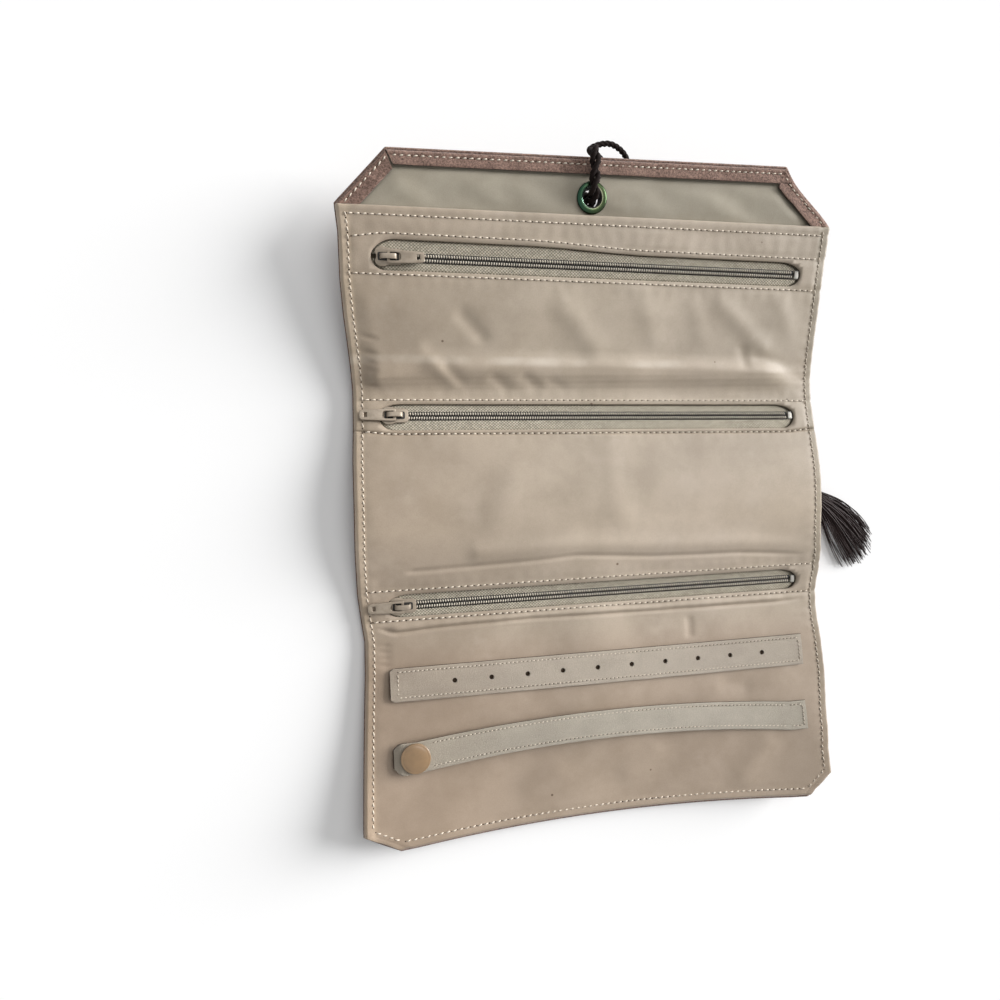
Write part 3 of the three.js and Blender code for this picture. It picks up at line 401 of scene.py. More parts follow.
def ring_turned(name, profile, material, segments=72):
    """A revolved ring whose closed profile of [radius, height] pairs stays off the axis."""
    count = len(profile)
    points = [[r * math.cos(a), r * math.sin(a), z] for a in ring_angles(segments) for r, z in profile]
    faces = [(s * count + k, t * count + k, t * count + m, s * count + m)
             for s, t in wrapped(segments) for k, m in wrapped(count)]
    return mesh_piece(name, points, faces, material)


def plate(name, outline, holes, bottom, top, material, bevel=0.18):
    """A flat stamped plate with holes and rounded edges, lying in the XY plane."""
    curve = bpy.data.curves.new(name, "CURVE")
    curve.dimensions = "2D"
    curve.fill_mode = "BOTH"
    curve.bevel_depth = bevel * MM
    curve.bevel_resolution = 2
    curve.offset = -bevel * MM
    curve.extrude = (top - bottom) / 2 * MM - bevel * MM
    for loop in (outline, *holes):
        spline = curve.splines.new("POLY")
        spline.points.add(len(loop) - 1)
        for point, (u, v) in zip(spline.points, loop):
            point.co = (u * MM, v * MM, 0, 1)
        spline.use_cyclic_u = True
    holder = linked(name + "_outline", curve)
    mesh = baked(holder)
    bpy.data.objects.remove(holder)
    mesh.name = name
    mesh.materials.clear()
    mesh.materials.append(material)
    mesh.transform(Matrix.Translation((0, 0, (top + bottom) / 2 * MM)))
    return crisp(linked(name, mesh), 35)


def crisp(piece, degrees):
    """Welds a piece, turns its faces outwards and keeps its edges sharp beyond an angle."""
    work = bmesh.new()
    work.from_mesh(piece.data)
    bmesh.ops.remove_doubles(work, verts=work.verts, dist=1e-6)
    bmesh.ops.recalc_face_normals(work, faces=work.faces)
    work.to_mesh(piece.data)
    work.free()
    return shade_by_angle(piece, degrees)


def shade_by_angle(piece, degrees):
    mesh = piece.data
    mesh.polygons.foreach_set("use_smooth", [True] * len(mesh.polygons))
    mesh.set_sharp_from_angle(angle=math.radians(degrees))
    return piece


def moved(piece, place):
    """Carries a piece's mesh to its place."""
    piece.data.transform(place)
    piece.data.update()
    return piece


def marked(piece, material, marks):
    """Gives the marked faces of a piece a second material."""
    piece.data.materials.append(material)
    piece.data.polygons.foreach_set("material_index", np.asarray(marks, int))
    return piece


def rounded(points, radius, steps=5):
    """A closed outline with its corners rounded. A radius is one number, or one for each corner."""
    points = [np.array(p, float) for p in points]
    radii = radius if hasattr(radius, "__len__") else [radius] * len(points)
    made = []
    for k, corner in enumerate(points):
        before, after = points[k - 1] - corner, points[(k + 1) % len(points)] - corner
        reach = min(radii[k], 0.49 * np.linalg.norm(before), 0.49 * np.linalg.norm(after))
        start, end = corner + unit(before) * reach, corner + unit(after) * reach
        for t in np.arange(steps + 1) / steps:
            made.append((1 - t) ** 2 * start + 2 * t * (1 - t) * corner + t * t * end)
    return made


def joined(name, pieces):
    """One object made of several, with the first one's materials first."""
    bpy.ops.object.select_all(action="DESELECT")
    for piece in pieces:
        piece.select_set(True)
    bpy.context.view_layer.objects.active = pieces[0]
    bpy.ops.object.join()
    pieces[0].name = name
    pieces[0].data.name = name
    return pieces[0]


def dressed(piece, slot, carried, *nodes):
    """Hides the CAD nodes that a piece stands for, and gives it its finish slot and its body or fold."""
    if nodes:
        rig.replaces(piece, *nodes)
    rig.slot(piece, slot)
    if callable(carried):
        carried(piece)
    else:
        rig.ride(piece, carried)
    return piece


def cut_flat(piece, width, length, rests_on):
    """Says what size a sheet of cloth was cut to, in millimetres."""
    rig.sheet(piece, flat=(width * MM, length * MM), held="stretched", rests_on=[rests_on])


# Materials

def feed(tree, socket, value):
    """Sets a socket, or links it to another node's output. A colour may leave out its alpha."""
    if isinstance(value, bpy.types.NodeSocket):
        tree.links.new(value, socket)
    elif socket.type == "RGBA" and len(value) == 3:
        socket.default_value = (*value, 1)
    else:
        socket.default_value = value


def add(tree, kind, inputs=None, **settings):
    """A node with its settings, and its inputs set or linked."""
    node = tree.nodes.new(kind)
    for key, value in settings.items():
        setattr(node, key, value)
    for key, value in (inputs or {}).items():
        feed(tree, node.inputs[key], value)
    return node


def shader_of(name, color, roughness, metallic=0.0, **extra):
    made = bpy.data.materials.new(name)
    made.use_nodes = True
    shader = made.node_tree.nodes["Principled BSDF"]
    values = {"Base Color": color, "Roughness": roughness, "Metallic": metallic}
    values.update((socket.replace("_", " "), value) for socket, value in extra.items())
    for socket, value in values.items():
        feed(made.node_tree, shader.inputs[socket], value)
    return made, made.node_tree, shader


def places(tree, stretch=(1, 1, 1), turn=(0, 0, 0)):
    """Object coordinates in metres, stretched and turned."""
    source = add(tree, "ShaderNodeTexCoord").outputs["Object"]
    inputs = {"Scale": stretch, "Rotation": turn, "Vector": source}
    return add(tree, "ShaderNodeMapping", inputs).outputs["Vector"]


def noise(tree, size, detail=3.0, rough=0.55):
    """Noise with features of that size in millimetres."""
    inputs = {"Scale": 1.0 / (size * MM), "Detail": detail, "Roughness": rough, "Vector": places(tree)}
    return add(tree, "ShaderNodeTexNoise", inputs).outputs["Fac"]


def cells(tree, size, vector, **inputs):
    """Cells of that size in millimetres."""
    return add(tree, "ShaderNodeTexVoronoi", {"Scale": 1.0 / (size * MM), "Vector": vector, **inputs}).outputs


def axes_of(tree, vector):
    return add(tree, "ShaderNodeSeparateXYZ", {0: vector}).outputs


def worked_out(tree, operation, *values):
    return add(tree, "ShaderNodeMath", dict(enumerate(values)), operation=operation).outputs[0]


def share_of(tree, value, low, high):
    """How far a value is on its way from low to high, both in millimetres."""
    inputs = {"Value": value, "From Min": low * MM, "From Max": high * MM}
    return add(tree, "ShaderNodeMapRange", inputs).outputs["Result"]


def gray(tree, value, low, high):
    return add(tree, "ShaderNodeMapRange", {"Value": value, "To Min": low, "To Max": high}).outputs["Result"]


def ramp(tree, value, *stops):
    """A colour that changes with a value, from stops of (position, colour)."""
    node = add(tree, "ShaderNodeValToRGB", {"Fac": value})
    elements = node.color_ramp.elements
    elements.remove(elements[1])
    for k, (at, color) in enumerate(stops):
        element = elements[0] if k == 0 else elements.new(at)
        element.position = at
        element.color = (*color, 1)
    return node.outputs["Color"]


def scaled(color, gain):
    return tuple(min(1.0, c * gain) for c in color)


def tones(tree, value, color, *gains):
    """Darker and paler tones of a colour, from stops of (position, gain)."""
    return ramp(tree, value, *((at, scaled(color, gain)) for at, gain in gains))


def mixed(tree, mode, share, first, second):
    inputs = {0: share, 6: first, 7: second}
    return add(tree, "ShaderNodeMix", inputs, data_type="RGBA", blend_type=mode).outputs[2]


def multiplied(tree, first, second, share=1.0):
    return mixed(tree, "MULTIPLY", share, first, second)


def finish(tree, shader, tone, height, distance, strength, rough=None):
    """Links a material's colour, a bump of some millimetres, and a roughness where it varies."""
    feed(tree, shader.inputs["Base Color"], tone)
    if rough is not None:
        feed(tree, shader.inputs["Roughness"], rough)
    bump = add(tree, "ShaderNodeBump", {"Strength": strength, "Distance": distance * MM, "Height": height})
    feed(tree, shader.inputs["Normal"], bump.outputs["Normal"])


WHITE = (1, 1, 1)
MOTTLE = 0.10


def cloth_material(name, color, grain, roughness, worn=None, tints=None):
    """Napped cloth: slow mottling, rubbed paler patches, a few dark flecks, a fine grain and its bump."""
    made, tree, shader = shader_of(name, color, roughness, Sheen_Weight=0.10, Sheen_Roughness=0.4,
                                   Specular_IOR_Level=0.4)
    slow = tones(tree, noise(tree, 60, 4.0), color, (0.32, 1 - MOTTLE), (0.52, 1.0), (0.72, 1 + MOTTLE))
    patches = ramp(tree, noise(tree, 17, 4.0, 0.6), (0.36, (0.86, 0.85, 0.83)), (0.60, WHITE))
    fine = noise(tree, grain, 4.0, 0.7)
    grains = ramp(tree, fine, (0.30, (0.84, 0.83, 0.82)), (0.60, WHITE))
    base = multiplied(tree, multiplied(tree, slow, patches, 0.8), grains, 0.55)
    if worn is not None:
        spots = ramp(tree, noise(tree, 24, 5.0, 0.65), (0.58, (0, 0, 0)), (0.78, (0.5, 0.5, 0.5)))
        base = mixed(tree, "MIX", spots, base, worn)
        dots = cells(tree, 20, places(tree))["Distance"]
        flecks = ramp(tree, dots, (0.025, (0.25, 0.18, 0.13)), (0.035, WHITE))
        base = multiplied(tree, base, flecks, 0.85)
        # A painted highlight along the roll's crest
        base = mixed(tree, "MIX", painted_crest_highlight(tree), base, PAINTED_CREST_HIGHLIGHT)
    # Painted light and shade along and across the roll
    if tints is not None:
        base = multiplied(tree, multiplied(tree, base, along_roll(tree, tints)), painted_side_shade(tree))
    rough = gray(tree, noise(tree, 20), roughness - 0.08, roughness + 0.08)
    finish(tree, shader, base, fine, 0.10, 0.5, rough)
    return made


# Tints across the roll: painted shade, darker and warmer to the left, a painted paler lip at the left edge, and darker
# towards and at the right edge
PAINTED_SIDE_SHADE_STOPS = [(0.0, (1.12, 1.08, 1.02)), (0.012, (1.08, 1.04, 0.98)), (0.022, (0.86, 0.83, 0.80)),
              (0.15, (0.87, 0.845, 0.815)), (0.30, (0.96, 0.95, 0.935)), (0.46, (1.02, 1.02, 1.01)),
              (0.74, (1, 1, 1)), (0.88, (0.93, 0.93, 0.92)), (0.978, (0.92, 0.92, 0.91)),
              (0.988, (0.76, 0.77, 0.74)), (1.0, (0.70, 0.71, 0.68))]
# Tints at distances along the roll in millimetres: painted light and shade in bands, darker and browner over the lower
# panel, that stand in for how the light falls on each panel
PAINTED_LIGHT_ALONG_ROLL = [(-12, (0.84, 0.79, 0.76)), (2, (0.93, 0.92, 0.91)), (22, (0.94, 0.93, 0.93)),
             (34, (1.03, 1.02, 1.02)), (50, (1.11, 1.10, 1.09)), (66, (1.0, 0.99, 0.98)),
             (82, (0.90, 0.89, 0.88)), (100, (0.90, 0.90, 0.89)), (113, (1.0, 1.0, 0.99)),
             (121, (1.02, 1.01, 1.0)), (130, (0.90, 0.90, 0.89)), (158, (0.94, 0.94, 0.93)),
             (166, (1.0, 1.0, 1.0))]
# A pale band painted along the roll's crest over the upper fold: a painted highlight
PAINTED_CREST_HIGHLIGHT = (0.74, 0.68, 0.60)
CREST_LEAN = 0.025
CREST_Y = UPPER_FOLD_Y + (124.6 - MIDDLE_SPAN) * math.cos(UPPER_TILT)


# Painted shade across the roll, darker and warmer to the left
def painted_side_shade(tree):
    x = axes_of(tree, places(tree))["X"]
    return ramp(tree, share_of(tree, x, -HALF_WIDTH, HALF_WIDTH), *PAINTED_SIDE_SHADE_STOPS)


def along_roll(tree, tints):
    low, high = LOWER_FOLD_Y + tints[0][0], LOWER_FOLD_Y + tints[-1][0]
    share = share_of(tree, axes_of(tree, places(tree))["Y"], low, high)
    return ramp(tree, share, *(((LOWER_FOLD_Y + at - low) / (high - low), tint) for at, tint in tints))


def painted_crest_highlight(tree):
    """How strongly a painted highlight lies along the roll of cloth over the upper fold."""
    axes = axes_of(tree, places(tree))
    level = worked_out(tree, "MULTIPLY_ADD", axes["X"], CREST_LEAN, axes["Y"])
    off = worked_out(tree, "ABSOLUTE", worked_out(tree, "SUBTRACT", level, CREST_Y * MM))
    inputs = {"Value": off, "From Min": 0.4 * MM, "From Max": 3.0 * MM, "To Min": 0.45, "To Max": 0.0}
    near = add(tree, "ShaderNodeMapRange", inputs, interpolation_type="SMOOTHSTEP").outputs["Result"]
    patchy = ramp(tree, noise(tree, 30, 4.0, 0.6), (0.42, (0.05, 0.05, 0.05)), (0.60, WHITE))
    return multiplied(tree, near, patchy)


def suede_material(name, color, grain, contrast, side_shaded=False):
    """Short-napped suede with a speckled pile."""
    made, tree, shader = shader_of(name, color, 0.9, Sheen_Weight=0.25, Sheen_Roughness=0.5,
                                   Specular_IOR_Level=0.15)
    pile = noise(tree, grain, 5.0, 0.75)
    speckle = tones(tree, pile, color, (0.30, 1 - contrast), (0.5, 1.0), (0.70, 1 + contrast))
    clouds = ramp(tree, noise(tree, 14), (0.35, (0.86, 0.85, 0.85)), (0.65, WHITE))
    base = multiplied(tree, speckle, clouds, 0.8)
    # The same painted shade across the roll, darker to the left
    if side_shaded:
        base = multiplied(tree, base, painted_side_shade(tree))
    finish(tree, shader, base, pile, 0.35, 0.8)
    return made


def tape_material(name, color):
    """Woven tape: rows of light and dark threads that cross, about a millimetre apart."""
    made, tree, shader = shader_of(name, color, 0.85, Specular_IOR_Level=0.2)
    weave = cells(tree, 1.05, places(tree, (1, 1.15, 0), (0, 0, math.pi / 4)), Randomness=0.12)
    threads = tones(tree, weave["Color"], color, (0.2, 0.86), (0.5, 1.0), (0.8, 1.12))
    gaps = ramp(tree, weave["Distance"], (0.31, (1.1, 1.1, 1.1)), (0.53, (0.36, 0.35, 0.32)))
    dirt = ramp(tree, noise(tree, 9), (0.35, (0.88, 0.88, 0.86)), (0.65, WHITE))
    tone = multiplied(tree, multiplied(tree, threads, gaps, 0.9), dirt, 0.7)
    finish(tree, shader, tone, weave["Distance"], -0.20, 0.6)
    return made


def smooth_material(name, color, roughness, mottle, grain, **extra):
    """Plastic or enamel: mottled by (size, darkest, palest), with a grain of (size, depth, strength)."""
    made, tree, shader = shader_of(name, color, roughness, **extra)
    size, dark, pale = mottle
    tone = tones(tree, noise(tree, size), color, (0.3, dark), (0.7, pale))
    finish(tree, shader, tone, noise(tree, grain[0]), *grain[1:])
    return made


def metal_material(name, color, roughness, patina, amount, metallic):
    """Metal with a patina in patches and a varying polish."""
    made, tree, shader = shader_of(name, color, roughness, metallic)
    spots = ramp(tree, noise(tree, 3, 5.0, 0.65), (0.38, (0, 0, 0)), (0.66, (amount, amount, amount)))
    rough = gray(tree, noise(tree, 1.5, 4.0), roughness - 0.08, roughness + 0.12)
    finish(tree, shader, mixed(tree, "MIX", spots, color, patina), noise(tree, 0.8), 0.03, 0.25, rough)
    return made


def thread_material(name, color, roughness, sheen=0.3, pitch=0.5, gloss=0.5):
    """Twisted thread or cord, with fine filaments."""
    made, tree, shader = shader_of(name, color, roughness, Sheen_Weight=sheen, Sheen_Roughness=0.35,
                                   Specular_IOR_Level=gloss)
    fibre = noise(tree, pitch, 4.0, 0.7)
    finish(tree, shader, tones(tree, fibre, color, (0.3, 0.65), (0.7, 1.3)), fibre, 0.12, 0.6)
    return made


LINING_CLOTH = cloth_material("lining_microsuede", (0.505, 0.425, 0.340), 0.55, 0.52,
                              worn=(0.57, 0.49, 0.41), tints=PAINTED_LIGHT_ALONG_ROLL)
FLAP_CLOTH = cloth_material("flap_lining_microsuede", (0.385, 0.345, 0.272), 0.5, 0.7)
BACKING_CLOTH = cloth_material("pocket_cloth", (0.330, 0.275, 0.200), 0.6, 0.8)
SHELL_SUEDE = suede_material("outer_suede", (0.245, 0.157, 0.124), 0.9, 0.85)
# The strip and strap take the painted shade across the roll
STRIP_SUEDE = suede_material("strip_suede_nap", (0.475, 0.415, 0.345), 0.5, 0.12, side_shaded=True)
STRAP_SUEDE = suede_material("strap_suede_nap", (0.470, 0.425, 0.355), 0.5, 0.12, side_shaded=True)
# Near-black suede for cut edges: partly the edges' own dark colour, partly painted shade for the dark lines beside
# them
CUT_EDGE_AND_SHADE = suede_material("cut_edge_and_painted_shade", (0.050, 0.032, 0.022), 0.5, 0.2)
TAPE_TWILL = tape_material("zip_tape_twill", (0.515, 0.468, 0.38))
COIL_NYLON = smooth_material("zip_coil_nylon", (0.62, 0.56, 0.46), 0.45, (3, 0.8, 1.15), (0.6, 0.04, 0.4))
# Near-black painted shade: beside each zip chain, under each pull's eye and inside the grommet's bore
PAINTED_SHADE_BLACK = smooth_material("zip_coil_core", (0.012, 0.010, 0.008), 0.7, (3, 0.8, 1.15), (0.6, 0.04, 0.4))
CORD_YARN = thread_material("cord_yarn", (0.009, 0.005, 0.004), 0.8, sheen=0.02, pitch=0.35, gloss=0.14)
TASSEL_SILK = thread_material("tassel_silk", (0.019, 0.0095, 0.0085), 0.6, sheen=0.03, pitch=0.3, gloss=0.2)
STITCH_THREAD = thread_material("stitch_thread", (0.70, 0.62, 0.51), 0.6, pitch=0.25)
# Near-black domes at needle holes and in the strip's holes: painted shade
NEEDLE_HOLE_SHADE = thread_material("needle_hole_shade", (0.060, 0.042, 0.030), 0.9, sheen=0.0, gloss=0.1)
ANTIQUE_BRASS = metal_material("antique_brass_dulled", (0.33, 0.275, 0.215), 0.42,
                               (0.21, 0.17, 0.125), 0.6, 0.4)
BRIGHT_STEEL = metal_material("bright_steel", (0.34, 0.33, 0.30), 0.5, (0.25, 0.235, 0.20), 0.5, 0.5)
SNAP_ENAMEL = smooth_material("snap_enamel_gloss", (0.255, 0.155, 0.072), 0.28, (4, 0.88, 1.08),
                              (1.2, 0.03, 0.3), Coat_Weight=0.5, Coat_Roughness=0.12)


# Camera

def make_camera():
    data = bpy.data.cameras.new("photo_camera")
    data.sensor_width = SENSOR
    data.lens = FOCAL_PIXELS * SENSOR / IMAGE_SIZE
    data.clip_start = 0.01
    camera = linked("photo_camera", data)
    bpy.context.scene.camera = camera
    spin = Matrix.Rotation(math.radians(CAMERA_TURN.length), 3, CAMERA_TURN.normalized())
    rows = spin @ Matrix.Diagonal((1, -1, -1))
    axes = Matrix((rows[0], -rows[1], -rows[2])).transposed().to_4x4()
    camera.matrix_world = Matrix.Translation(CAMERA_PLACE * MM) @ axes


# The roll's shape: v runs along the roll from the lower fold, and is negative on the lower panel

FOLD_SOFTNESS = 3.0
LEAN_AT = [25.0, ZIP_ALONG[2] - 9, ZIP_ALONG[1] + 9, POCKET_TOP - 4, POCKET_TOP + 2, FLAP_TOP]
LEAN = [math.tan(math.radians(a)) for a in (0.0, -1.1, -1.3, -0.9, -0.7, 0.0)]
FLAP_DENT = 3.9
# How far each side of the roll strays from its straight line, as (distance along the roll, millimetres out)
LEFT_DRIFT = [(-92, 2.2), (-80, 1.8), (-60, 1.0), (-45, 0.3), (-30, -0.5), (-15, -1.4), (0, -1.8),
              (10, -0.6), (22, 0.5), (40, 0.6), (60, 0.0), (80, -0.3), (95, -1.0), (112, -1.4),
              (122, -1.0), (135, 0.0), (145, 0.9), (160, 1.6), (180, 1.4), (POCKET_TOP, 2.3),
              (FLAP_TOP, 0.0)]
RIGHT_DRIFT = [(-92, -2.0), (-70, -1.6), (-61, -0.4), (-52, 0.0), (-43, 0.9), (-33, 1.8), (-15, 1.3),
               (-6, 0.4), (3, 0.0), (12, 0.5), (22, 2.2), (31, 2.2), (45, 0.6), (60, 0.0), (130, 0.0),
               (140, 0.3), (152, 0.9), (171, 1.6), (186, 2.6), (POCKET_TOP, 3.0), (FLAP_TOP, 0.0)]
CUP_DEPTH = 6.8
CUP_DRAW = 1.4
CUP_LEVEL_X = 92.0
CUP_START = 30.0
PUSH_UP = 2.1
PUSH_DOWN = 1.5


def hard_line(v):
    """Y and Z of the shell's outer face at a distance along the roll."""
    along = np.clip(v, 0, MIDDLE_SPAN)
    share = np.clip((along - MIDDLE_FOOT) / (MIDDLE_SPAN - MIDDLE_FOOT - MIDDLE_LEDGE), 0, 1)
    below = np.minimum(v, 0)
    above = np.maximum(np.asarray(v) - MIDDLE_SPAN, 0)
    y = LOWER_FOLD_Y + along + below * math.cos(LOWER_TILT) + above * math.cos(UPPER_TILT)
    z = MIDDLE_LIFT * ease(share) + MIDDLE_RISE * np.sin(math.pi * share) ** 2
    return y, z - below * math.sin(LOWER_TILT) + above * math.sin(UPPER_TILT)


def soft_line(v):
    spots = [hard_line(np.asarray(v, float) + shift) for shift in (-FOLD_SOFTNESS, 0, FOLD_SOFTNESS)]
    return sum(s[0] for s in spots) / 3, sum(s[1] for s in spots) / 3


def surface(x, v, n):
    """Points at a height n over the shell's outer face.

    The rows lean a little, as the zippers are sewn, and the lower panel's end is cupped.
    """
    x, v, n = np.broadcast_arrays(*(np.asarray(a, float) for a in (x, v, n)))
    v = v + x * np.interp(v, LEAN_AT, LEAN) + slot_bulge(x, v)
    y, z = soft_line(v)
    y0, z0 = soft_line(v - 1.0)
    y1, z1 = soft_line(v + 1.0)
    length = np.hypot(y1 - y0, z1 - z0)
    lean, rise = (z1 - z0) / length, (y1 - y0) / length
    bend = ease((-v - CUP_START) / (LOWER_LENGTH - CUP_START))
    hollow = (1 - (x / CUP_LEVEL_X) ** 2) * bend
    drawn = CUP_DRAW * np.maximum(hollow, 0)
    return np.stack([x, y - n * lean + drawn, z + n * rise - CUP_DEPTH * hollow], -1)


def slot_bulge(x, v):
    """How far the cloth is pushed off the chains: up over the first slider, down below the second chain."""
    first = PUSH_UP * bell(v - ZIP_ALONG[1] - 7.5, 4.5) * ease((25 - x) / 60) * ease((x + HALF_WIDTH) / 20)
    return first - PUSH_DOWN * bell(v - ZIP_ALONG[2] + 7.0, 3.0) * ease((HALF_WIDTH - np.abs(x)) / 20)


def half_width(v, side=-1):
    """The roll's reach to its left or right at a distance along it. The flap's right slant is drawn in."""
    v = np.asarray(v, float)
    right = np.asarray(side) > 0
    rise = np.clip((v - POCKET_TOP) / FLAP_LENGTH, 0, 1)
    clips = [np.maximum(length - LOWER_LENGTH - v, 0) * width / length
             for width, length in LOWER_CLIP.values()]
    clip = np.where(right, clips[1], clips[0])
    drift = np.where(right, np.interp(v, *zip(*RIGHT_DRIFT)), np.interp(v, *zip(*LEFT_DRIFT)))
    return HALF_WIDTH + drift - FLAP_CLIP * rise - clip - right * flap_dent(rise)


def flap_dent(rise):
    return FLAP_DENT * bell(rise - 0.7, 0.45)


EDGE_ANGLES = np.radians([90, 68, 46, 23, 0])
EDGE_INSETS = EDGE_ROUND * (1 - np.sin(EDGE_ANGLES))


def rounded_edge(inset, middle, top):
    """Height of a cloth layer that rolls over at a sewn edge, at a distance in from the edge."""
    share = np.clip(1 - inset / EDGE_ROUND, 0, 1)
    return middle + (top - middle) * np.sqrt(1 - share ** 2)


def zip_matrix(k):
    """A zipper's own frame: X along the chain, Y across it and Z out of the shell's outer face."""
    v = ZIP_ALONG[k]
    angle = UPPER_TILT
    if k != 1:
        (y0, z0), (y1, z1) = hard_line(v - 0.05), hard_line(v + 0.05)
        angle = math.atan2(z1 - z0, y1 - y0)
    place = Matrix.Translation(Vector((0, *hard_line(v))))
    return place @ Matrix.Rotation(angle, 4, "X") @ Matrix.Rotation(ZIP_SKEW[k], 4, "Z")


def on_zip(k, points):
    """Points in a zipper's frame, placed on the roll."""
    place = zip_matrix(k)
    return np.asarray(points, float) @ np.array(place.to_3x3()).T + np.array(place.translation)


def set_on_zip(piece, k, shift, turn=0.0):
    place = zip_matrix(k) @ Matrix.Translation(Vector(shift)) @ Matrix.Rotation(turn, 4, "Z")
    place.translation *= MM
    return moved(piece, place)


# Tie cord: two strands from the grommet over the flap's edge and under the roll to the tassel

CORD_DIAMETER = 2.4
CORD_SPACING = 2.7
CORD_LAY = 7.0
CORD_STEP = 0.6
CORD_RADIUS = CORD_DIAMETER / 2 * 1.12
PLY_DEPTH = 0.42
KNOT_RADIUS = 2.5
KNOT_RISE = 1.6
FLOOR_CORD = 1.3
GROMMET_X = -3.2
GROMMET_S = 82.9
HEM_TOP = 3.6
UPPER_LENGTH = POCKET_LENGTH + FLAP_LENGTH
CORD_EDGE = UPPER_LENGTH + 0.3 + CORD_DIAMETER / 2 + CORD_SPACING / 2
ROPE_TURNS = 2
TASSEL_PLACE = np.array([HALF_WIDTH - 21.0, UPPER_FOLD_Y - 45.4, 4.1])
TASSEL_HEADING = math.radians(-42)
# Each strand's way from the flap's edge: under the flap, as (x, s, n) from the grommet and the cord's edge,
# over the table, as (x, y, height), and into the tassel's head, as (back, aside) in half spacings
FLAP_ROUTE = {"right": [(3.6, 0.2, -2.2), (8, -1.8, -6), (12, -5, -11)],
              "left": [(-0.2, 2.4, -0.8), (4, 4.4, -1.6), (10, 5, -2.2), (17, 2, -4.5), (22, -4, -9.5)]}
TABLE_ROUTE = {"right": [(11.5, 138, 5.5), (8, 131, 1.3), (0, 122, 0.15), (-13, 112, 0), (-22, 99, 0),
                         (-17, 86, 0), (0, 78, 0), (18, 71, 0), (28, 63, 0), (31, UPPER_FOLD_Y, 0),
                         (33.5, 47, 0), (44, 36.5, 0), (61, 27.5, 0), (75, 20, 0.6)],
               "left": [(20.5, 138, 6.5), (17, 130, 1.5), (7, 118.5, 0.15), (-7, 107.5, 0), (-15.5, 98, 0),
                        (-12, 90, 0), (2, 83, 0), (21.5, 75.5, 0), (33, 65.5, 0), (36.5, UPPER_FOLD_Y, 0),
                        (39, 49, 0), (48, 40.5, 0), (65, 31.5, 0), (79, 23.5, 0.6)]}
HEAD_ROUTE = {"right": [(6, -1), (0.3, -1), (-5, -0.5), (-15, 0)], "left": [(6, 1), (0.3, 1), (-5, 0.5)]}
STRAND_SIDE = {"right": 1, "left": -1}
CORD_BEND = (-14, 16)


def on_upper(x, s, n):
    c, t = math.cos(UPPER_TILT), math.sin(UPPER_TILT)
    return [x, UPPER_FOLD_Y + s * c - n * t, MIDDLE_LIFT + s * t + n * c]


def at_head(back, aside):
    axis = np.array([math.cos(TASSEL_HEADING), math.sin(TASSEL_HEADING), 0])
    beside = np.array([-axis[1], axis[0], 0])
    return list(TASSEL_PLACE - axis * back + beside * aside)


def over_the_edge(side):
    """One strand of the rope that the two strands twist into between the grommet and the flap's edge."""
    ride = HEM_TOP + 0.3 + CORD_DIAMETER / 2 + CORD_SPACING / 2
    route = [(GROMMET_S, -1.0), (GROMMET_S + 0.2, 2.6), (GROMMET_S + 2.6, ride + 0.1), (GROMMET_S + 7, ride),
             (UPPER_LENGTH - 3, ride), (CORD_EDGE - 0.3, ride - 1.0), (CORD_EDGE + 0.5, 1.8)]
    middle, _ = smooth_path([on_upper(GROMMET_X, s, n) for s, n in route], 0.9)
    _, across, out = path_frames(middle)
    turn = 2 * math.pi * ROPE_TURNS * np.linspace(0, 1, len(middle))[:, None]
    return (middle + side * CORD_SPACING / 2 * (across * np.sin(turn) - out * np.cos(turn))).tolist()


def cord_route(strand):
    return [*over_the_edge(STRAND_SIDE[strand]),
            *(on_upper(GROMMET_X + x, CORD_EDGE + s, n) for x, s, n in FLAP_ROUTE[strand]),
            *([x, y, FLOOR_CORD + height] for x, y, height in TABLE_ROUTE[strand]),
            *(at_head(back, aside * CORD_SPACING / 2) for back, aside in HEAD_ROUTE[strand])]


def between(a, b, start, end, t):
    """A value on its way from a at the start to b at the end."""
    return (end - t) / (end - start) * a + (t - start) / (end - start) * b


def smooth_path(points, step):
    """A centripetal Catmull-Rom curve through the points, sampled at about an even step."""
    p = np.array(points, float)
    p = np.concatenate([[2 * p[0] - p[1]], p, [2 * p[-1] - p[-2]]])
    made = []
    for k in range(1, len(p) - 2):
        a, b, c, d = p[k - 1:k + 3]
        t0 = 0.0
        t1 = t0 + math.sqrt(np.linalg.norm(b - a))
        t2 = t1 + math.sqrt(np.linalg.norm(c - b))
        t3 = t2 + math.sqrt(np.linalg.norm(d - c))
        t = np.linspace(t1, t2, 24, endpoint=False)[:, None]
        ab, bc, cd = between(a, b, t0, t1, t), between(b, c, t1, t2, t), between(c, d, t2, t3, t)
        abc, bcd = between(ab, bc, t0, t2, t), between(bc, cd, t1, t3, t)
        made.append(between(abc, bcd, t1, t2, t))
    line = np.concatenate([*made, p[-2:-1]])
    reach = running_length(line)
    even = np.linspace(0, reach[-1], max(2, round(reach[-1] / step)) + 1)
    return read_along(even, reach, line), reach[-1]


def path_frames(line):
    """Unit tangents, and two unit normals that turn as little as they can along the line."""
    tangents = unit(np.gradient(line, axis=0))
    first = np.cross(tangents[0], UP if abs(tangents[0][2]) < 0.9 else np.array([1.0, 0, 0]))
    normals = [unit(first)]
    for t in tangents[1:]:
        carried = normals[-1] - t * (normals[-1] @ t)
        normals.append(unit(carried))
    normals = np.array(normals)
    return tangents, normals, np.cross(tangents, normals)


